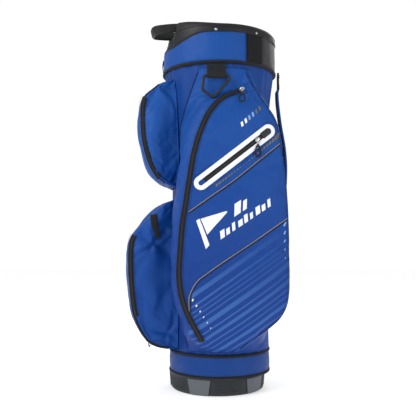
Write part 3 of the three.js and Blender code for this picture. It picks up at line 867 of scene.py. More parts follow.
def make_side_pockets():
    rows, gusset_columns, face_columns, back_columns = 112, 14, 50, 12
    z = np.linspace(POCKET_LOW, POCKET_HIGH, rows)[:, None]
    k = np.linspace(0, 1, gusset_columns, endpoint=False)[None, :]
    root = polar(barrel_radius(z) + SKIN_GAP, gusset_angle(z), z)
    run = on_face(zip_edge(z), z) - root
    bulge = gusset_bulge(z) * np.sin(np.pi * k) ** 0.8
    gusset = root + run * k[..., None] + plan_normal(run) * bulge[..., None]

    t = zip_edge(z) + (seam_edge(z) - zip_edge(z)) * np.linspace(0, 1, face_columns)
    face = on_face(t, z)

    k = np.linspace(0, 1, back_columns + 1)[None, 1:]
    corner = on_face(seam_edge(z), z)
    spine_angle = 67 - 35 * smoothstep(z, 0.60, POCKET_HIGH)
    run = polar(barrel_radius(z) + SKIN_GAP, spine_angle, z) - corner
    back = corner + run * k[..., None] + plan_normal(run) * (0.006 * np.sin(np.pi * k))[..., None]

    points = np.concatenate([gusset, face, back], axis=1)
    points = eased(points, 4)
    points = pulled_in(points, z, POCKET_LOW, POCKET_HIGH, 0.016)

    held_line = np.concatenate([
        on_face(*curve(ZIP_ROUTE, 90).T),
        on_face(*curve(PIPING_HIGH, 40).T),
        on_face(*curve(PIPING_LOW, 50).T),
        on_face(*spaced([VALUABLES_FROM, VALUABLES_TO], 40).T),
    ])
    away = distance_to(points, held_line)
    column = np.arange(points.shape[1])[None, :]
    last_face_column = gusset_columns + face_columns - 1
    seams = np.minimum(np.abs(column - gusset_columns), np.abs(column - last_face_column))
    ends = np.minimum(column, points.shape[1] - 1 - column) + 0 * z
    row = np.minimum(np.arange(rows), rows - 1 - np.arange(rows))[:, None]
    free = smoothstep(away, 0.009, 0.034) * smoothstep(seams, 0.5, 4)
    free = free * smoothstep(ends, 0, 3) * smoothstep(row, 0, 5)
    normals = grid_normals(points)
    folds = 0.0030 * ripples(points * (1, 1, 0.55), 0.12, seed=4)
    folds += 0.0011 * ripples(points, 0.045, seed=9)
    points += normals * (folds * free)[..., None]

    across = points @ FACE_ALONG
    crease = fanned_creases(across, z, (0.047, 0.712), 0.045, 7, 0.0026)
    by_zip = fanned_creases(across, z, (-0.10, 0.44), 0.06, 5, 0.0014)
    crease += by_zip * smoothstep(away, 0.006, 0.02)
    on_front = (column > gusset_columns) & (column <= last_face_column)
    points += normals * (crease * on_front * smoothstep(away, 0.006, 0.016))[..., None]

    # A tuck down the gusset, below the pocket's narrow top.
    tuck = np.exp(-(((column - 8) / 2.0) ** 2))
    tuck = tuck * smoothstep(z, 0.58, 0.63) * (1 - smoothstep(z, 0.69, 0.73))
    points -= normals * (0.005 * tuck)[..., None]

    near = sheet_piece(
        "side_pocket_shell_near", points, mats["pocket"], SHELL_THICK,
        stands_for=["side_pocket_near"], slot="blue_fabric",
    )
    held = (away < 0.011) | (seams < 1) | (ends < 2) | (row < 2)
    filled_by_cloth(near, held, slack=0.02, most=0.006)
    near.modifiers.clear()
    thicken(near, SHELL_THICK, subdivide=1)
    both_sides(near, stands_for=["side_pocket_far"])
    return near


def surface_of(obj):
    """The finished surface of a piece, to lay prints and stitches on."""
    depsgraph = bpy.context.evaluated_depsgraph_get()
    return BVHTree.FromObject(obj, depsgraph)


def laid(surface, points, lift, inward):
    """Moves each point along inward, from well outside, onto a surface, and lifts it a little."""
    points = np.asarray(points, float)
    flat = points.reshape(-1, 3)
    ways = np.broadcast_to(np.asarray(inward, float), points.shape).reshape(-1, 3)
    moved = np.empty_like(flat)
    for index, (point, way) in enumerate(zip(flat, ways)):
        start = Vector(point - 0.03 * way)
        hit = surface.ray_cast(start, Vector(way), 0.08)[0]
        moved[index] = point - lift * way if hit is None else np.array(hit) - lift * way
    return moved.reshape(points.shape)


def face_line(route, count, closed=False):
    """A smooth route on the pocket's face, with the face's normals along it."""
    t, z = curve(route, count, closed).T
    return on_face(t, z), face_normal(t, z)


def beside(path, normals, offset, closed=False):
    """The same line moved sideways on its surface."""
    return path + np.cross(normals, tangents(path, closed)) * offset


def zip_pieces(name, path, normals, width=ZIP_WIDTH, stitched=True):
    """Two tapes, the coil between them, and a row of stitches along each edge."""
    flat = flat_section(width, 0.0012, lift=-0.0002)
    core = flat_section(0.0040, 0.0012, lift=0.0008)
    made = [
        sweep(f"{name}_tape", path, normals, flat, mats["black"]),
        sweep(f"{name}_coil_core", path, normals, core, mats["coil"]),
    ]
    tooth = flat_section(0.0054, 0.0011, lift=0.0010)
    teeth = along_path(path, normals, 0.0024, 0.0014, tooth)
    made.append(joined(f"{name}_coil", teeth, mats["coil"]))
    rows = (("stitches", "dark_thread", -0.0008, 0.0011), ("topstitch", "thread", 0.0032, 0.0004))
    for label, thread, past_edge, lift in rows if stitched else ():
        for side, way in (("a", 1), ("b", -1)):
            line = beside(path, normals, way * (width / 2 + past_edge))
            made.append(stitches(f"{name}_{label}_{side}", line, normals, mats[thread], lift=lift))
    return made


def piping_pieces(name, route, surface):
    """A thin reflective cord sewn into a seam, with a dark strip below it that paints the cord's shadow
    on the seam allowance.
    """
    path, normals = face_line(route, 90)
    path = laid(surface, path, 0.0002, -FACE_OUT)
    cord = sweep(f"{name}_cord", path, normals, round_section(0.0011, 8), mats["piping"])
    under = beside(path, normals, 0.0022)
    if under[:, 2].mean() > path[:, 2].mean():
        under = beside(path, normals, -0.0022)
    # The seam strip is a painted shadow: a dark blue sheet beside the cord, where its shade falls.
    seam = sweep(f"{name}_seam", under, normals, flat_section(0.0026, 0.0007), mats["shadow"])
    low = 2 * under - path
    row = stitches(f"{name}_stitches", low, normals, mats["thread"], lift=0.0003)
    return [cord, seam, row]


PRINT_STEP = 0.0025  # the prints' grid, fine enough to follow the creases
PRINT_LIFT = 0.0006


def print_piece(name, corners, surface, material):
    """A printed four-cornered mark on the face: corners go anticlockwise from the lower left."""
    a, b, c, d = (np.array(corner) for corner in corners)
    columns = 2 + math.ceil(np.linalg.norm(b - a) / PRINT_STEP)
    rows = 2 + math.ceil(np.linalg.norm(d - a) / PRINT_STEP)
    u = np.linspace(0, 1, columns)[None, :, None]
    v = np.linspace(0, 1, rows)[:, None, None]
    spots = (a * (1 - u) + b * u) * (1 - v) + (d * (1 - u) + c * u) * v
    points = laid(surface, on_face(spots[..., 0], spots[..., 1]), PRINT_LIFT, -FACE_OUT)
    return sheet_piece(name, points, material, thickness=0.0004)


def tilted(origin, degrees):
    """Turns (along, up) offsets from an origin on the face into (t, z) places."""
    turn = math.radians(degrees)

    def place(along, up):
        t = origin[0] + along * math.cos(turn) - up * math.sin(turn)
        z = origin[1] + along * math.sin(turn) + up * math.cos(turn)
        return (t, z)

    return place


def bar(place, start, end, low, high, slant=0.5):
    """The corners of a slanted bar, from start to end along and low to high up."""
    lean = slant * (high - low)
    return [place(start, low), place(end, low), place(end + lean, high), place(start + lean, high)]


def make_prints(surface):
    """A plain pennant with bars beside it, and a fading row of slanted bars: no lettering."""
    made = []
    place = tilted((-0.070, 0.343), 33)
    pole = ((0, 0), (0.012, 0.004), (0.025, 0.066), (0.016, 0.066))
    pennant = ((0.020, 0.026), (0.086, 0.044), (0.086, 0.047), (0.027, 0.064))
    shapes = {
        "pole": [place(*corner) for corner in pole],
        "pennant": [place(*corner) for corner in pennant],
        "bar_1": bar(place, 0.094, 0.112, 0.026, 0.050, 0.7),
        "bar_2": bar(place, 0.118, 0.129, 0.026, 0.045, 0.7),
    }
    for name, corners in shapes.items():
        made.append(print_piece(f"print_{name}_near", corners, surface, mats["ink"]))
    for index in range(9):
        start = 0.040 + index * 0.0166
        tall = 0.0165 - 0.0035 * (index % 2)
        corners = bar(place, start, start + 0.0122 - 0.0020 * (index % 3), 0, tall, 0.5)
        made.append(print_piece(f"print_block_{index + 1}_near", corners, surface, mats["ink"]))

    place = tilted((0.014, 0.622), 42)
    for index, ink in enumerate(("ink", "ink", "pale_ink", "pale_ink", "grey_ink", "grey_ink")):
        start = index * 0.012
        corners = bar(place, start, start + 0.0065, 0, 0.0095, 0.5)
        made.append(print_piece(f"print_tick_{index + 1}_near", corners, surface, mats[ink]))

    # The reflective dashes between the white frame and the upper piping, fading towards the middle.
    start, end = np.array([-0.047, 0.483]), np.array([0.108, 0.604])
    turn = math.degrees(math.atan2(*(end - start)[::-1]))
    place = tilted(start, turn)
    total = float(np.linalg.norm(end - start))
    count = 22
    for index in range(count):
        along = total * index / count
        middle = (index - 10) / 11  # 0 at the smallest dash
        tall = 0.0012 + (0.0088 if middle > 0 else 0.0042) * abs(middle)
        long = total / count * (0.52 + 0.40 * abs(middle))
        corners = bar(place, along, along + long, 0, tall, 0.8)
        made.append(print_piece(f"print_dash_{index + 1}_near", corners, surface, mats["grey_ink"]))

    # The stripes' pale ends by the spine and white dots by the zip, smaller as they go down.
    marks = (
        ("end", 5, 0.0044, 0.80, 2.6, (0.117, 0.394), (0, -0.0185), "pale_ink"),
        ("dot", 6, 0.0034, 0.86, 1.6, (-0.099, 0.226), (0.0085, -0.0125), "ink"),
    )
    for label, count, tallest, shrink, long, origin, step, ink in marks:
        for index in range(count):
            size = tallest * shrink**index
            place = tilted((origin[0] + step[0] * index, origin[1] + step[1] * index), 60)
            corners = bar(place, 0, long * size, 0, size, 0.3)
            made.append(print_piece(f"print_{label}_{index + 1}_near", corners, surface, mats[ink]))
    return made


def slot_line(radius, count=90):
    """A line round the valuables slot at one distance from its middle line, as (t, z) places."""
    middle = (VALUABLES_FROM + VALUABLES_TO) / 2
    half = np.linalg.norm(VALUABLES_TO - VALUABLES_FROM) / 2
    along = unit(VALUABLES_TO - VALUABLES_FROM)
    up = np.array([-along[1], along[0]])
    turns = np.radians(np.linspace(-90, 90, 25))
    right = [(half + radius * math.cos(a), radius * math.sin(a)) for a in turns]
    left = [(-x, -y) for x, y in right]
    outline = np.array(right + left + right[:1])
    outline = middle + outline[:, :1] * along + outline[:, 1:] * up
    return spaced(outline, count, closed=True)


def make_valuables_zip():
    """The welded white frame, its short slanted zip and the cover over the zip's upper end."""
    outer, inner = VALUABLES["outer"], VALUABLES["slot"]
    t, z = slot_line((outer + inner) / 2, 120).T
    section = flat_section(outer - inner, VALUABLES["thick"], corner=0.0009, lift=0.0004)
    sweep(
        "valuables_frame_band", on_face(t, z), face_normal(t, z), section, mats["white"],
        closed=True, stands_for=["valuables_zip_frame"], slot="white_frame",
    )
    t, z = slot_line(outer + 0.004, 150).T
    ring = on_face(t, z)
    ring = np.vstack([ring, ring[:1]])
    stitches("valuables_topstitch", ring, FACE_OUT, mats["thread"], lift=0.0004)

    along = unit(VALUABLES_TO - VALUABLES_FROM)
    line = spaced([VALUABLES_FROM + 0.011 * along, VALUABLES_TO - 0.006 * along], 60)
    path, normals = on_face(*line.T), face_normal(*line.T)
    pieces = zip_pieces("valuables_slot", path, normals, width=2 * inner - 0.0006, stitched=False)
    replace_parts(pieces[0], "valuables_zip_tape")

    # The ribbed cover, with a rounded end.
    start = VALUABLES_TO - 0.021 * along
    steps = np.linspace(0, 0.027, 22)
    widest, tallest, rib = 0.0085, 0.0048, 0.0030
    half = widest * np.sqrt(1 - np.clip((steps - 0.018) / 0.0092, 0, 0.999) ** 2)
    high = tallest * (half / widest) ** 0.6 * (1 + 0.07 * np.sin(steps / rib * 2 * np.pi))
    turn = np.linspace(0, np.pi, 11)
    half, high = half[:, None], high[:, None]
    sections = np.stack([half * np.cos(turn), 0.0006 + high * np.sin(turn)], axis=-1)
    spots = start + steps[:, None] * along
    sweep(
        "valuables_zip_cover", on_face(*spots.T), face_normal(*spots.T), sections, mats["base"],
        slot="black_plastic",
    )


# ---------------------------------------------------------------- sliders and pullers


def frame_at(origin, forward, outward):
    """Maps (along, side, out) offsets to places."""
    along = unit(forward)
    out = unit(outward - along * np.dot(outward, along))
    side = np.cross(out, along)

    def place(points):
        points = np.asarray(points, float)
        return origin + points[..., :1] * along + points[..., 1:2] * side + points[..., 2:] * out

    return place


def slider_rings(half_length, half_width, low, high):
    """A plate with rounded corners and a nose that narrows, as a stack of rings."""
    turn = circle(28)
    x = half_length * squared(np.cos(turn), 0.6)
    y = half_width * squared(np.sin(turn), 0.6)
    y *= 1 - 0.22 * np.clip(x / half_length, 0, 1)
    rings = []
    for level, size in ((0, 0.90), (0.25, 1.0), (0.75, 1.0), (1, 0.90)):
        height = low + (high - low) * level
        rings.append(np.stack([x * size, y * size, np.full_like(x, height)], axis=1))
    return np.array(rings)


def make_pull(name, at, forward, outward):
    """A slider with two wings and a bridge, and the looped puller that hangs from it."""
    half, wide = SLIDER["length"] / 2, SLIDER["width"] / 2
    origin = at + outward * SLIDER["lift"]
    place = frame_at(origin, forward, outward)
    wings = [
        place(slider_rings(half, wide, 0, 0.0011)),
        place(slider_rings(half * 0.96, wide, -0.0016, -0.0006)),
    ]
    turn = np.linspace(0, np.pi, 15)
    rise = 0.0008 + 0.0030 * np.sin(turn) ** 0.7
    arch = np.stack([-half * 0.72 * np.cos(turn), 0 * turn, rise], axis=1)
    side = place([[0, 1, 0]])[0] - place([[0, 0, 0]])[0]
    out = np.cross(tangents(place(arch)), side)
    wings.append(sweep_rings(place(arch), out, flat_section(0.0030, 0.0010)))
    body = joined(
        f"{name}_slider_body", wings, mats["chrome"], body=f"{name}_slider",
        stands_for=[f"{name}_slider"], slot="slider_metal",
    )
    bevel(body, 0.00015, 1)

    down = unit(np.array([0, 0, -1]) + outward * outward[2])
    top = origin + down * (half + 0.0012) + outward * 0.0016
    hang = frame_at(top + outward * 0.0012, down, outward)
    link = curve([
        (-0.0014, 0.0012, 0.0004), (-0.0024, 0, 0.0010), (-0.0014, -0.0012, 0.0004),
        (0.003, -0.0022, 0), (0.0075, 0, 0), (0.003, 0.0022, 0),
    ], 28, closed=True)
    metal = sweep(
        f"{name}_puller_link", hang(link), outward, round_section(0.00075, 8), mats["steel"],
        closed=True, body=f"{name}_puller", slot="slider_metal",
    )
    length, width, cord = PULLER["length"], PULLER["width"] / 2, PULLER["cord"] / 2
    turn = circle(48)
    sink = (1 - np.cos(turn)) / 2
    start = 0.0060
    loop = np.stack([
        start + (length - start - cord) * sink,
        (width - cord) * np.sin(turn) * (0.52 + 0.48 * sink),
        0.0003 * np.sin(3 * turn),
    ], axis=1)
    ribbed = round_section(1.0, 10) * (cord * (1 + 0.07 * np.sin(turn * 30)))[:, None, None]
    loop_piece = sweep(
        f"{name}_puller_loop", hang(loop), outward, ribbed, mats["black"], closed=True,
        body=f"{name}_puller", stands_for=[f"{name}_puller"], slot="black_trim",
    )
    crimp = np.array([(s, 0, 0) for s in (0.0035, 0.0050, 0.0075, 0.0098, 0.0112)])
    sleeve = round_section(0.0027, 12) * np.array([0.7, 1, 1, 1, 0.7])[:, None, None]
    tip = sweep(
        f"{name}_puller_sleeve", hang(crimp), outward, sleeve, mats["buckle"],
        body=f"{name}_puller", slot="black_trim",
    )
    return [body, metal, loop_piece, tip]


def far_pull(pieces):
    """The far pocket's slider and puller, mirrored from the near one."""
    for near in pieces:
        name = near.name.replace("near", "far")
        body = near["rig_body"].replace("near", "far")
        stands_for = [node.replace("near", "far") for node in near.get("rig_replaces", [])]
        mirrored(near, name, body=body, stands_for=stands_for)


def make_zip_pulls():
    t = ZIP_CENTRE[0] + ZIP_RADIUS * math.cos(ZIP_REST)
    z = ZIP_CENTRE[1] + ZIP_RADIUS * math.sin(ZIP_REST)
    forward = FACE_ALONG * math.sin(ZIP_REST) - np.array([0, 0, math.cos(ZIP_REST)])
    far_pull(make_pull("side_near", on_face(t, z), forward, face_normal(t, z)))

    along = unit(VALUABLES_TO - VALUABLES_FROM)
    forward = FACE_ALONG * along[0] + np.array([0, 0, along[1]])
    make_pull("valuables", on_face(*VALUABLES_REST), forward, FACE_OUT)

    # The front pockets' sliders are parked on the far side.
    for name, y, z in (("front_upper", -0.183, 0.690), ("front_lower", -0.211, 0.350)):
        make_pull(name, np.array([-0.0935, y, z]), np.array([0.0, 0, 1]), np.array([-1.0, 0, 0]))


# ---------------------------------------------------------------- front pockets


def front_shell_row(k, z, reach):
    """Points of a front pocket's shell.

    k from 0 to 1 is the near wall, 1 to 2 the front and 2 to 3 the far wall.
    """
    wall = np.where(k < 1, k, np.where(k > 2, 3 - k, 1))
    u = np.where(k < 1, 1, np.where(k > 2, -1, 3 - 2 * k))
    root = barrel_radius(z) + SKIN_GAP
    x0, y0 = root * math.sin(FRONT_ROOT), -root * math.cos(FRONT_ROOT)
    x1, y1 = 0.093, -reach(z) + 0.003
    tuck = 0.007 * np.exp(-(((wall - 0.30) / 0.17) ** 2))
    x = (x0 + (x1 - x0) * wall + 0.004 * np.sin(np.pi * wall) - tuck) * u
    y = y0 + (y1 - y0) * wall - np.where((k > 1) & (k < 2), 0.007 * (1 - u**2), 0)
    return np.stack(np.broadcast_arrays(x, y, z + 0 * x), axis=-1)


def wall_line(heights, inset, reach, side=1, count=70):
    """A line on a front pocket's side wall, a fixed distance in from its outer edge."""
    z = np.linspace(heights[0], heights[1], count)
    length = np.maximum(reach(z) - barrel_radius(z) * math.cos(FRONT_ROOT), 0.012)
    k = 1 - inset / length
    points = front_shell_row(k, z, reach)
    points[:, 0] *= side
    return points


def make_front_pocket(name, low, high, reach, gathers, valleys=()):
    """One front pocket, with fans of creases (gathers) and pressed-in lines (valleys)."""
    rows, walls, front = 84, 26, 40
    z = np.linspace(low, high, rows)[:, None]
    k = np.concatenate([
        np.linspace(0, 1, walls, endpoint=False),
        np.linspace(1, 2, front, endpoint=False),
        np.linspace(2, 3, walls + 1),
    ])[None, :]
    points = front_shell_row(k, z, reach)[:, ::-1]
    points = eased(points, 5)
    points = pulled_in(points, z, low, high, 0.014)
    normals = grid_normals(points)
    columns = points.shape[1]
    column = np.arange(columns)[None, :]
    corners = np.minimum(np.abs(column - walls), np.abs(column - columns + 1 + walls))
    ends = np.minimum(column, columns - 1 - column)
    row = np.minimum(np.arange(rows), rows - 1 - np.arange(rows))[:, None]
    free = smoothstep(corners, 1, 7) * smoothstep(ends, 0, 4) * smoothstep(row, 0, 6)
    folds = 0.0042 * ripples(points * (1, 1, 0.5), 0.13, seed=18)
    folds += 0.0012 * ripples(points, 0.05, seed=3)
    for centre, size, count, depth in gathers:
        folds = folds + fanned_creases(points[..., 1], points[..., 2], centre, size, count, depth)
    for line in valleys:
        away = distance_to(points[..., 1:], spaced(line, 60))
        folds = folds - 0.0032 * np.exp(-((away / 0.0045) ** 2))
        folds = folds + 0.0016 * np.exp(-(((away - 0.011) / 0.006) ** 2))
    points += normals * (folds * free)[..., None]
    shell = sheet_piece(
        f"{name}_shell", points, mats["front"], SHELL_THICK, stands_for=[name], slot="blue_fabric",
    )
    held = (corners < 4) | (ends < 2) | (row < 3)
    filled_by_cloth(shell, held, slack=0.03, most=0.008)
    shell.modifiers.clear()
    thicken(shell, SHELL_THICK, subdivide=1)
    return shell


def wall_fittings(name, surface, zip_heights, piping_heights, reach, cord, under=()):
    """The zip and piping that run round a front pocket's two side walls.

    under gives the (y, z) places that the piping goes on through, below the wall's outer edge.
    """
    for label, side in (("near", 1), ("far", -1)):
        inward = np.array([-side, 0, 0])
        path = laid(surface, wall_line(zip_heights, 0.0070, reach, side), 0.0006, inward)
        out = -inward
        zip_pieces(f"{name}_zip_{label}", path, out)
        for inset, kind in ((PIPING_INSET, "piping"), (0.013, "edge_stitches")):
            line = wall_line(piping_heights, inset, reach, side, 60)
            if under:
                rise = inset - PIPING_INSET
                x = line[-1, 0]
                line = np.vstack([line, [(x, y + rise * 0.4, z + rise) for y, z in under]])
            path = laid(surface, curve(line, 110), 0.0002, inward)
            if kind == "piping":
                sweep(f"{name}_piping_{label}", path, out, round_section(cord, 10), mats["black"])
            else:
                stitches(f"{name}_edge_stitches_{label}", path, out, mats["thread"])


def make_front_pockets():
    upper = make_front_pocket(
        "front_pocket_upper", 0.490, 0.750, upper_reach,
        [((-0.150, 0.735), 0.09, 4, 0.0035), ((-0.118, 0.50), 0.08, 5, 0.003)],
    )
    wall_fittings(
        "front_pocket_upper", surface_of(upper), (0.706, 0.512), (0.738, 0.500), upper_reach,
        0.0019,
    )
    lower = make_front_pocket(
        "front_pocket_lower", 0.102, 0.462, lower_reach,
        [((-0.160, 0.356), 0.075, 4, 0.0026), ((-0.125, 0.14), 0.09, 4, 0.003)],
        valleys=[[(-0.206, 0.324), (-0.163, 0.347), (-0.130, 0.384)]],
    )
    surface = surface_of(lower)
    wall_fittings(
        "front_pocket_lower", surface, (0.374, 0.182), (0.374, 0.125), lower_reach, 0.0031,
        under=((-0.156, 0.1165), (-0.140, 0.111), (-0.122, 0.108)),
    )

    # Webbing over the lower pocket's shoulders, and a pull tab near its lower edge.
    for label, side in (("near", 1), ("far", -1)):
        spots = np.linspace((side * 0.09, -0.158, 0.424), (side * 0.09, -0.152, 0.368), 16)
        out = np.array([side, 0, 0], float)
        path = curve(laid(surface, spots, 0.0008, -out)[::5], 20)
        patch = sweep(
            f"shoulder_webbing_{label}", path, out, flat_section(0.017, 0.0018), mats["black"],
            slot="black_trim",
        )
        for offset in (-0.0068, 0.0068):
            edge = beside(path, np.broadcast_to(out, path.shape), offset)
            tag = "a" if offset < 0 else "b"
            stitches(f"{patch.name}_stitches_{tag}", edge, out, mats["dark_thread"], lift=0.0018)
    fold = (
        (-0.168, 0.128), (-0.170, 0.120), (-0.170, 0.113), (-0.168, 0.108), (-0.165, 0.113),
        (-0.163, 0.120), (-0.162, 0.128),
    )
    sweep(
        "pull_tab", curve([(0.070, y, z) for y, z in fold], 24), (0, -1, 0),
        flat_section(0.016, 0.0012), mats["front"], slot="blue_fabric",
    )


# ---------------------------------------------------------------- barrel, band and base


def turned(name, section, material, offset=(0, 0, 0), steps=144, wobble=None, **facts):
    """A ring turned from a closed (radius, height) section."""
    angle = np.linspace(0, 360, steps, endpoint=False)[:, None]
    radius, height = np.array(section, float).T
    radius = radius + 0 * angle
    if wobble is not None:
        radius = radius + wobble(angle, height)
    rings = polar(radius, angle, height + 0 * angle) + np.asarray(offset)
    return ring_piece(name, rings, material, close_rings=True, **facts)


def rounded(section, corner, steps=4):
    """A closed section with its corners rounded."""
    section = np.array(section, float)
    points = []
    for index, spot in enumerate(section):
        before = section[index - 1] - spot
        after = section[(index + 1) % len(section)] - spot
        cut = min(corner, np.linalg.norm(before) / 2.1, np.linalg.norm(after) / 2.1)
        a, b = spot + unit(before) * cut, spot + unit(after) * cut
        for s in np.linspace(0, 1, steps + 1):
            points.append(a * (1 - s) ** 2 + 2 * spot * s * (1 - s) + b * s**2)
    return np.array(points)


def ring_line(radius, z):
    """A level line round the bag, with the outward direction along it."""
    angle = np.linspace(0, 360, 360)
    return polar(radius, angle, z), radial(angle)


def make_barrel():
    angle = np.linspace(0, 360, 240, endpoint=False)[None, :]
    z = np.linspace(BARREL["low"], BARREL["high"], 120)[:, None]
    pleat = np.sin(np.radians(angle) * 34 + 3 * np.sin(np.radians(angle) * 5))
    gathered = smoothstep(z, 0.66, 0.76) + 0.8 * (1 - smoothstep(z, 0.10, 0.19))
    radius = barrel_radius(z) - 0.0010 + 0.0011 * pleat * gathered
    points = polar(radius, angle, z)
    uneven = 0.0010 * ripples(points * (1, 1, 0.4), 0.09, seed=12)
    points += radial(angle) * uneven[..., None]
    sheet_piece(
        "barrel_shell", points, mats["barrel"], thickness=0.0018, close_columns=True,
        stands_for=["barrel_near", "barrel_spine", "barrel_far", "barrel_front"],
        slot="blue_fabric",
    )


def make_band():
    inner, outer, low, high = BAND["inner"], BAND["outer"], BAND["low"], BAND["high"]
    heights = np.linspace(0, 1, 9)
    skin = [(outer - 0.0016 * (2 * h - 1) ** 2, low + (high - low) * h) for h in heights]
    section = skin + [(inner, high), (inner, low)]

    def wobble(angle, height):
        turn = np.radians(angle)
        lean = np.sin(3 * turn + 60 * height) + 0.6 * np.sin(7 * turn + 90 * height)
        return 0.00035 * lean

    turned(
        "lower_band_fabric", section, mats["band"], wobble=wobble, stands_for=["lower_band"],
        slot="blue_fabric",
    )
    thick, radius = BINDING["thick"], BINDING["radius"]
    turn = circle(16)
    flat = squared(np.sin(turn), 0.7)
    for node, height in zip(("binding_lower", "binding_upper"), BINDING["heights"]):
        section = np.stack([radius + thick * 0.95 * np.cos(turn), height + thick * flat], axis=1)
        turned(f"{node}_tape", section, mats["black"], stands_for=[node], slot="black_trim")
        path, out = ring_line(radius + thick * 0.80, height + 0.0017)
        stitches(f"{node}_stitches", path, out, mats["dark_thread"], spacing=0.005)


def base_skin(z):
    return BASE_RADIUS - BASE_FLARE * (1 - z / BASE_HEIGHT)


def make_base():
    sleeve = SLEEVE_RADIUS
    section = [
        (0.0002, 0), (base_skin(0) - 0.003, 0), (base_skin(0), 0.0025), (BASE_RADIUS, BASE_HEIGHT),
        (sleeve, BASE_HEIGHT + 0.0005), (sleeve, 0.090), (sleeve - 0.003, 0.090),
        (sleeve - 0.003, 0.006), (0.0002, 0.006),
    ]
    turned(
        "base_cup", rounded(section, 0.0008, 2), mats["base"], BASE_OFFSET,
        stands_for=["base_shell"], slot="black_plastic",
    )
    # Low ribs on the dark panels between the grey blocks.
    ribs = []
    for height in np.linspace(0.009, 0.031, 5):
        for block in range(5):
            middle = FIRST_BLOCK + BLOCK_STEP * block
            angle = np.linspace(middle + 20, middle + 52, 24)
            path = polar(base_skin(height) + 0.0001, angle, height) + BASE_OFFSET
            ribs.append(sweep_rings(path, radial(angle), flat_section(0.0016, 0.0009)))
    joined("base_panel_ribs", ribs, mats["base"], slot="black_plastic")

    trim = [(sleeve + 0.0005, 0.0389), (0.119, 0.0389), (0.119, 0.0402), (sleeve + 0.0005, 0.0402)]
    turned(
        "base_trim_band", rounded(trim, 0.0005, 3), mats["grey"], BASE_OFFSET,
        stands_for=["base_trim_ring"], slot="grey_plastic",
    )
    for block in range(5):
        middle = FIRST_BLOCK + BLOCK_STEP * block
        level = np.linspace(0, 1, 9)[:, None]
        side = np.linspace(-1, 1, 17)[None, :] * (11.6 + 2.8 * level)
        height = 0.0028 + 0.0350 * level
        points = polar(base_skin(height) + 0.0026, middle + side, height) + BASE_OFFSET
        obj = sheet_piece(
            f"base_block_{block + 1}_cover", points, mats["grey"], thickness=0.0022,
            stands_for=[f"base_block_{block + 1}"], slot="grey_plastic",
        )
        bevel(obj, 0.0009, 3)
        if block == 1:
            knurl_block(obj.name, middle)


def knurl_block(name, middle):
    """A field of small raised dots on one block."""
    dots = []
    for row, height in enumerate(np.linspace(0.008, 0.033, 9)):
        half = 10 + 3 * height / BASE_HEIGHT
        for angle in np.arange(-half + (row % 2) * 1.1, half, 2.2):
            at = polar(base_skin(height) + 0.0025, middle + angle, height) + BASE_OFFSET
            out = radial(middle + angle)
            dots.append(dome_rings(at, out, 0.0012, 0.0006, 8))
    joined(f"{name}_knurl", dots, mats["grey"], slot="grey_plastic")


def dome_rings(at, out, radius, height, around=16):
    """A low dome, such as a rivet's head."""
    out = unit(out)
    side = unit(np.cross(out, (0, 0, 1)) if abs(out[2]) < 0.9 else np.cross(out, (1, 0, 0)))
    up = np.cross(out, side)
    turn = circle(around)
    rings = []
    for rise, size in ((0, 1.0), (0.35, 0.97), (0.75, 0.72), (0.95, 0.38), (1.0, 0.08)):
        around_it = np.cos(turn)[:, None] * side + np.sin(turn)[:, None] * up
        rings.append(at + radius * size * around_it + out * height * rise)
    return np.array(rings)


# ---------------------------------------------------------------- collar, rim and handle


def from_grip(angle):
    """How far an angle is from the grab handle."""
    return np.abs((np.asarray(angle) - GRIP + 180) % 360 - 180)


def rim_low(angle):
    return RIM["low"] - RIM["drop"] * (1 - smoothstep(from_grip(angle), 23, 63))


def rim_high(angle):
    return RIM["high"] + RIM["rise"] * (1 - smoothstep(from_grip(angle), 18, 83))


def collar_panel(name, start, end, material, **facts):
    """A padded collar panel: its edges dip into the seams."""
    columns = max(12, int((end - start) / 1.5))
    angle = np.linspace(start, end, columns)[None, :]
    v = np.linspace(0, 1, 30)[:, None]
    low = COLLAR["low"] - 0.003
    z = low + (rim_low(angle) + 0.001 - low) * v
    side = np.minimum(angle - start, end - angle) * math.radians(WRAP_RADIUS)
    edge = np.minimum(smoothstep(side, 0, 0.008), smoothstep(v, 0, 0.12))
    radius = COLLAR["outer"] - 0.0022 * (1 - edge) + 0.0007 * np.sin(np.pi * v)
    points = polar(radius, angle, z)
    soft = 0.0006 * ripples(points * (1, 1, 0.6), 0.07, seed=21)
    soft += 0.0003 * ripples(points, 0.02, seed=5)
    points += radial(angle) * (soft * edge)[..., None]
    obj = sheet_piece(name, points, material, thickness=0.0036, subdivide=1, **facts)
    return obj


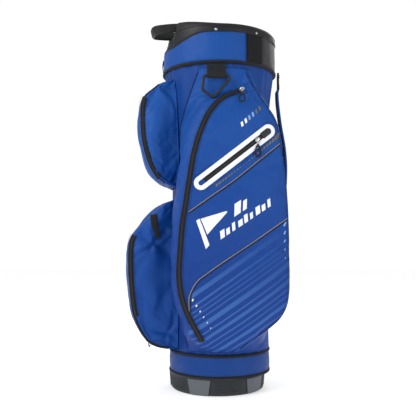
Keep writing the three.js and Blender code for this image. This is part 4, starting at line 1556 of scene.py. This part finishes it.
def make_collar():
    gap = 0.25
    collar_panel(
        "collar_fabric_front", -180 - PANEL_EDGE + gap, PANEL_EDGE - gap, mats["collar"],
        stands_for=["collar_front"], slot="blue_fabric",
    )
    sides = {
        "near": (PANEL_EDGE, PATCH_EDGE),
        "far": (180 - PATCH_EDGE, 180 - PANEL_EDGE),
    }
    for label, (start, end) in sides.items():
        collar_panel(
            f"collar_fabric_panel_{label}", start + gap, end - gap, mats["panel"],
            stands_for=[f"collar_panel_{label}"], slot="black_trim",
        )
    collar_panel(
        "collar_leather_patch", PATCH_EDGE + gap, 180 - PATCH_EDGE - gap, mats["patch"],
        stands_for=["collar_patch"], slot="grey_patch",
    )
    for index, angle in enumerate((PANEL_EDGE, PATCH_EDGE, 180 - PATCH_EDGE, 180 - PANEL_EDGE)):
        for side in (-1.4, 1.4):
            z = np.linspace(COLLAR["low"] + 0.003, float(rim_low(angle)) - 0.002, 30)
            path = polar(COLLAR["outer"] + 0.0002, angle + side, z)
            tag = "a" if side < 0 else "b"
            stitches(
                f"collar_seam_{index + 1}_stitches_{tag}", path, radial(angle + side),
                mats["dark_thread"],
            )

    # The thick bound seam under the collar.
    middle = 0.1393
    section = round_section(0.0043, 20) + (middle, COLLAR["piping"])
    turned(
        "collar_binding", section, mats["black"], steps=180, stands_for=["collar_piping"],
        slot="black_trim",
    )
    path, out = ring_line(middle + 0.0036, COLLAR["piping"] - 0.0024)
    stitches("collar_binding_stitches", path, out, mats["dark_thread"], spacing=0.005)

    # A short webbing loop on the front of the collar.
    z = np.linspace(0.819, 0.788, 22)
    stand = 0.0012 + 0.0016 * np.sin(np.linspace(0, np.pi, 22)) ** 2
    path = np.stack([0 * z, -(COLLAR["outer"] + stand), z], axis=1)
    strip = flat_section(0.020, 0.0014)
    sweep("collar_loop", path, (0, -1, 0), strip, mats["black"], slot="black_trim")


def rim_place(radius, angle, h):
    """Places a (radius, height) point of the rim's section: the rim leans inwards at the front."""
    lean = 1 - smoothstep(from_grip(angle), RECESS["full"], RECESS["end"])
    across = (radius - RIM["inner"]) / (RIM["outer"] - RIM["inner"])
    rise = np.clip(h, 0, 1)
    inner = RIM["inner"] - RECESS["inner"] * lean * rise
    outer = RIM["outer"] - RECESS["outer"] * lean * rise
    z = rim_low(angle) + (rim_high(angle) - rim_low(angle)) * h
    return polar(inner + (outer - inner) * across, angle, z)


def make_rim():
    inner, outer = RIM["inner"], RIM["outer"]
    section = np.array([
        (inner, 0.02), (inner + 0.001, 0), (outer - 0.0012, 0), (outer - 0.0002, 0.06), (outer, 0.14),
        (outer, 0.42), (outer - 0.0006, 0.60), (outer - 0.0018, 0.78), (outer - 0.0040, 0.93),
        (outer - 0.0070, 1), (inner + 0.0060, 1), (inner + 0.0032, 0.95), (inner + 0.0012, 0.85),
        (inner, 0.7),
    ])
    angle = np.linspace(0, 360, 180, endpoint=False)[:, None]
    rings = rim_place(section[:, 0] + 0 * angle, angle, section[:, 1])
    ring_piece(
        "rim_moulding", rings, mats["rim"], close_rings=True, stands_for=["top_rim"],
        slot="black_plastic",
    )

    # Two raised beads round the rim, and the rivets between them.
    angle = np.linspace(0, 360, 240, endpoint=False)
    for name, radius, height in (("low", outer, 0.10), ("high", outer - 0.0006, 0.62)):
        sweep(
            f"rim_bead_{name}", rim_place(radius, angle, height), radial(angle),
            round_section(0.0009, 8), mats["rim"], closed=True, slot="black_plastic",
        )
    for index, turn in enumerate(RIVETS):
        at = rim_place(outer, float(turn), 0.24)
        out = radial(float(turn))
        head = dome_rings(at - out * 0.0002, out, 0.0034, 0.0016, 20)
        eye = dome_rings(at + out * 0.0010, out, 0.0016, 0.0009, 12)
        joined(f"rim_rivet_{index + 1}", [head, eye], mats["steel"], slot="steel")


def make_handle():
    """The grab handle: a bow in plan, ribbed along its outer face."""
    root, tip, root_y = HANDLE["root"], HANDLE["tip"], -0.100
    far = -HANDLE["reach"]
    half = [(root, root_y), (root - 0.001, -0.122), (root - 0.005, -0.143), (tip, far + 0.005)]
    route = half + [(0, far)] + [(-x, y) for x, y in reversed(half)]
    plan = curve(route, 72)
    reach = np.clip((root_y - plan[:, 1]) / (HANDLE["reach"] + root_y), 0, 1)
    turn = math.radians(GRIP - FRONT)
    plan = plan @ np.array([(math.cos(turn), math.sin(turn)), (-math.sin(turn), math.cos(turn))])
    z = HANDLE["root_z"] + (HANDLE["tip_z"] - HANDLE["root_z"]) * reach
    path = np.column_stack([plan, z])
    forward = tangents(path)
    out = np.stack([forward[:, 1], -forward[:, 0], 0 * z], axis=1)
    out *= np.sign(out[36] @ path[36])
    height, thick = HANDLE["height"] / 2, HANDLE["thick"] / 2
    turn = circle(28)
    up = height * squared(np.sin(turn), 0.55)
    across = thick * squared(np.cos(turn), 0.6)
    flare = (up / height)[None, :] * 0.0025 * reach[:, None]
    body = path[:, None] + out[:, None] * (across[None, :] + flare)[..., None]
    body[..., 2] += up
    ring_piece(
        "handle_grip", body, mats["handle"], stands_for=["front_handle"], slot="black_plastic",
    )

    # Grip ribs along the outer face.
    groups = []
    for level in np.linspace(-0.0062, 0.0062, 5):
        lift = thick + 0.0025 * level / height * reach - 0.0001
        line = path + out * lift[:, None] + np.array([0, 0, level])
        groups.append(sweep_rings(line[16:56], out[16:56], round_section(0.0007, 8)))
    joined("handle_ribs", groups, mats["handle"], slot="black_plastic")


# ---------------------------------------------------------------- inside


def make_inside():
    """Materials for the CAD pieces inside, and padded tops on the dividers."""
    for node, obj in frame["nodes"].items():
        if node.startswith("divider_"):
            finish_node(obj, mats["lining"])
            low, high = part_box(node)
            padded_top(node, low, high)
        elif node.startswith("stay_"):
            finish_node(obj, mats["steel"])
        elif node == "top_shell":
            finish_node(obj, mats["rim"])


def finish_node(obj, material):
    obj.data.materials.clear()
    obj.data.materials.append(material)
    bevel(obj, 0.0004, 2)


def padded_top(node, low, high):
    """A fabric-covered foam roll along a divider's upper edge."""
    middle, size = (low + high) / 2, high - low
    along_x = size.x > size.y
    length = (size.x if along_x else size.y) / 2 - (0.004 if along_x else 0.0015)
    steps = np.linspace(-1, 1, 30)
    way = np.array([1.0, 0, 0]) if along_x else np.array([0, 1.0, 0])
    top = np.array([middle.x, middle.y, high.z + 0.0005])
    path = top + steps[:, None] * length * way
    ends = np.clip((1 - np.abs(steps)) * length / 0.004, 0.02, 1)
    sizes = np.sqrt(1 - (1 - ends) ** 2) * (1 + 0.03 * np.sin(steps * 9))
    section = round_section(1.0, 14) * (0.0043, 0.0046) * sizes[:, None, None]
    roll = sweep(f"{node}_padding", path, (0, 0, 1), section, mats["lining"], slot="divider_fabric")


# ---------------------------------------------------------------- towel ring and strap


def make_towel_ring():
    corners = [
        (-0.038, 0.0), (-0.0417, -0.034), (-0.0200, -0.0510), (-0.0130, -0.0510), (0.0215, -0.0090),
        (0.0205, 0.0),
    ]
    outline = rounded(corners, 0.0045, 4)
    line = spaced(np.vstack([outline, outline[:1]]), 110, closed=True)
    tilt = TOWEL_RING["tilt"]
    x = TOWEL_RING["x"] - line[:, 1] * math.sin(tilt)
    z = TOWEL_RING["z"] + line[:, 1] * math.cos(tilt)
    path = np.stack([x, line[:, 0], z], axis=1)
    out = (math.cos(tilt), 0, math.sin(tilt))
    section = flat_section(0.0062, 0.0058, corner=0.0020, lift=-0.0029)
    sweep(
        "towel_loop", path, out, section, mats["buckle"], closed=True, body="towel_ring",
        stands_for=["towel_ring"], slot="black_plastic",
    )

    # The webbing tab: down from the collar's binding, round the ring's bar and back up.
    turn = np.radians(np.linspace(150, 400, 14))
    around = [(0.0055 * math.cos(a), 0.0055 * math.sin(a)) for a in turn]
    down = [(-0.0030, 0.0295), (-0.0032, 0.018), (-0.0046, 0.008)]
    up = [(-0.0006, 0.0125), (-0.0012, 0.0295)]
    x, z = curve(down + around + up, 60).T
    path = np.stack([TOWEL_RING["x"] + x, np.full(60, -0.009), TOWEL_RING["z"] + z], axis=1)
    out = np.cross(tangents(path), (0, 1, 0))
    sweep(
        "towel_tab", path, out, flat_section(0.044, 0.0013, corner=0.0005), mats["black"],
        stands_for=["towel_ring_tab"], slot="black_trim",
    )
    for index, height in enumerate((0.0155, 0.0235)):
        x, z = TOWEL_RING["x"] - 0.0003, TOWEL_RING["z"] + height
        stitches(
            f"towel_tab_stitches_{index + 1}", np.linspace((x, -0.029, z), (x, 0.011, z), 40),
            (1, 0, 0), mats["thread"], spacing=0.0034, length=0.0024,
        )


def make_strap():
    stand = through(
        (0.335, 0.129), (0.380, 0.142), (0.450, 0.158), (0.530, 0.165), (0.591, 0.162), (0.653, 0.152),
        (0.712, 0.145), (0.740, 0.144),
    )
    z = np.linspace(STRAP["low"], STRAP["high"], 90)
    path = np.stack([0 * z, stand(z), z], axis=1)
    out = np.cross(tangents(path), (1, 0, 0))
    out *= np.sign(out[:, 1:2])
    half, thick = STRAP["half"], STRAP["thick"]
    u = np.linspace(-1, 1, 15)
    crown = 0.0011 + (thick + 0.0009) * np.sqrt(np.clip(1 - u**4, 0, 1))
    top = np.stack([u * (half - 0.0012), crown], axis=1)
    under = np.stack([u[::-1] * (half - 0.0012), np.full(15, 0.0010)], axis=1)
    section = np.vstack([under[::-1], top[::-1]])
    pad = sweep(
        "strap_pad", path, out, section, mats["strap"], body="strap", stands_for=["carry_strap"],
        slot="blue_fabric",
    )
    strip = flat_section(2 * half - 0.001, 0.0012)
    sweep("strap_lining", path, out, strip, mats["black"], body="strap")
    for side in (-1, 1):
        line = beside(path, out, side * (half - 0.0010)) + out * 0.0030
        tag = "near" if side > 0 else "far"
        binding = round_section(1.0, 10) * (0.0013, 0.0024)
        sweep(f"strap_binding_{tag}", line, out, binding, mats["strap"], body="strap")
        row = beside(path, out, side * (half - 0.0040)) + out * 0.0049
        stitches(f"strap_stitches_{tag}", row, out, mats["thread"], body="strap")

    # The side-release clip above the strap.
    z = np.linspace(STRAP["high"] + 0.001, 0.788, 24)
    v = (z - z[0]) / (z[-1] - z[0])
    wide = 0.012 + (0.007 - 0.012) * v - 0.002 * np.sin(v * np.pi) + 0.0012 * np.sin(v * np.pi * 3)
    deep = 0.0029 * (1 - 0.25 * np.abs(2 * v - 1) ** 3)
    turn = circle(28)
    across = squared(np.cos(turn), 0.5)
    depth = squared(np.sin(turn), 0.6)
    sections = np.stack([wide[:, None] * across, deep[:, None] * depth], axis=-1)
    path = np.stack([0 * z, np.full_like(z, 0.150), z], axis=1)
    sweep(
        "strap_buckle", path, (0, 1, 0), sections, mats["buckle"], body="strap",
        stands_for=["strap_clip"], slot="black_plastic",
    )
    bars = []
    for height in (0.748, 0.754, 0.776, 0.781):
        spots = np.linspace((-0.008, 0.1528, height), (0.008, 0.1528, height), 8)
        bars.append(sweep_rings(spots, (0, 1, 0), round_section(0.0008, 8)))
    joined("strap_buckle_ribs", bars, mats["buckle"], body="strap", slot="black_plastic")

    # The patch that sews the strap's lower end to the barrel, with a crossed box of stitches.
    angle = np.linspace(SPINE - 11, SPINE + 11, 20)[None, :]
    z = np.linspace(0.300, 0.3338, 12)[:, None]
    points = polar(barrel_radius(z) + 0.0052, angle, z)
    sheet_piece(
        "strap_patch", points, mats["black"], thickness=0.0046, stands_for=["strap_anchor"],
        slot="black_trim",
    )
    corners = [(-8, 0.304), (8, 0.304), (8, 0.330), (-8, 0.330)]
    runs = [(0, 1), (1, 2), (2, 3), (3, 0), (0, 2), (1, 3)]
    for index, (a, b) in enumerate(runs):
        ends = spaced([corners[a], corners[b]], 20)
        turn = SPINE + ends[:, 0]
        line = polar(0.1263, turn, ends[:, 1])
        stitches(f"strap_patch_stitches_{index + 1}", line, radial(turn), mats["thread"])


# ---------------------------------------------------------------- studio


def studio_material(name, colour):
    s = Shader(name, 0.9, specular=0.1)
    speck = s.fit(s.noise(30.0, 3.0), 0.3, 0.7)
    return s.done(s.mix(s.math("MULTIPLY", speck, 0.02), colour, shade(colour, 0.9)))


def area_light(name, place, target, size, power, colour=(1, 1, 1)):
    data = bpy.data.lights.new(name, "AREA")
    data.shape = "RECTANGLE"
    data.size, data.size_y = size
    data.energy = power
    data.color = colour
    light = bpy.data.objects.new(name, data)
    light.location = place
    light.rotation_euler = (Vector(target) - Vector(place)).to_track_quat("-Z", "Y").to_euler()
    bpy.context.scene.collection.objects.link(light)


def make_studio():
    """Slightly self-lit white paper, a world plain white to the camera, and three lights."""
    turn = circle(64)
    ring = np.stack([6 * np.cos(turn), 6 * np.sin(turn), np.full(64, -0.0004)], axis=1)
    mesh = bpy.data.meshes.new("floor")
    mesh.from_pydata([tuple(map(float, v)) for v in ring], [], [tuple(range(64))])
    paper = studio_material("floor_paper", (0.93, 0.93, 0.93, 1))
    surface = paper.node_tree.nodes["Principled BSDF"]
    surface.inputs["Emission Color"].default_value = (1, 1, 1, 1)
    surface.inputs["Emission Strength"].default_value = 0.4
    mesh.materials.append(paper)
    floor = bpy.data.objects.new("floor", mesh)
    bpy.context.scene.collection.objects.link(floor)

    world = bpy.data.worlds.new("studio")
    world.use_nodes = True
    nodes, links = world.node_tree.nodes, world.node_tree.links
    seen = nodes["Background"]
    seen.inputs["Strength"].default_value = 1.02
    light = nodes.new("ShaderNodeBackground")
    light.inputs["Strength"].default_value = 0.62
    for background in (seen, light):
        background.inputs["Color"].default_value = (1, 1, 1, 1)
    either = nodes.new("ShaderNodeMixShader")
    links.new(nodes.new("ShaderNodeLightPath").outputs["Is Camera Ray"], either.inputs[0])
    links.new(light.outputs[0], either.inputs[1])
    links.new(seen.outputs[0], either.inputs[2])
    links.new(either.outputs[0], nodes["World Output"].inputs["Surface"])
    bpy.context.scene.world = world
    bpy.context.scene.view_settings.view_transform = "Standard"
    middle = (0, 0, 0.45)
    area_light("key", (1.5, -1.9, 1.9), middle, (1.4, 1.4), 34)
    area_light("fill", (1.9, 1.5, 0.9), middle, (1.2, 1.6), 9)
    area_light("rim", (-1.6, 0.6, 1.7), middle, (1.2, 1.2), 14)


# ---------------------------------------------------------------- the whole bag


def make_side_pocket_fittings(surface):
    """Everything sewn to or printed on the near side pocket, and its copy on the far one."""
    path, normals = face_line(ZIP_ROUTE, 190)
    made = zip_pieces("side_zip_near", path, normals)
    made += piping_pieces("piping_high_near", PIPING_HIGH, surface)
    made += piping_pieces("piping_low_near", PIPING_LOW, surface)

    # The seam down the pocket's spine edge, and the seam where the gusset meets the barrel: real seams,
    # with cords in the dark blue that paints the shade along them.
    z = np.linspace(0.112, 0.758, 150)
    t = seam_edge(z)
    path = laid(surface, on_face(t - 0.004, z), 0.0001, -FACE_OUT)
    normals = face_normal(t - 0.006, z)
    cord = round_section(0.0011, 8)
    made.append(sweep("seam_cord_spine_near", path, normals, cord, mats["shadow"]))
    row = beside(path, normals, 0.0045)
    if row[75] @ FACE_ALONG > path[75] @ FACE_ALONG:
        row = beside(path, normals, -0.0045)
    row = laid(surface, row, 0.0003, -FACE_OUT)
    made.append(stitches("seam_stitches_spine_near", row, normals, mats["thread"]))
    angle = gusset_angle(z)
    path = polar(barrel_radius(z) + 0.0016, angle - 0.6, z)
    cord = round_section(0.0014, 8)
    made.append(sweep("seam_cord_gusset_near", path, radial(angle), cord, mats["shadow"]))

    # The boxed facing past the zip's upper end, its stitch lines in the dark blue that paints seam
    # shade.
    for name, route in (
        ("a", ((0.022, 0.7245), (0.050, 0.735))),
        ("b", ((0.030, 0.705), (0.060, 0.716))),
        ("c", ((0.026, 0.7255), (0.031, 0.7065))),
    ):
        path, normals = face_line(route, 30)
        path = laid(surface, path, 0.0004, -FACE_OUT)
        made.append(stitches(f"zip_facing_stitches_{name}_near", path, normals, mats["shadow"]))
    made += make_prints(surface)
    for near in made:
        both_sides(near)


def make_bag():
    near = make_side_pockets()
    surface = surface_of(near)
    make_side_pocket_fittings(surface)
    make_valuables_zip()
    make_zip_pulls()
    make_front_pockets()
    make_barrel()
    make_band()
    make_base()
    make_collar()
    make_rim()
    make_handle()
    make_inside()
    make_towel_ring()
    make_strap()
    make_studio()


make_bag()
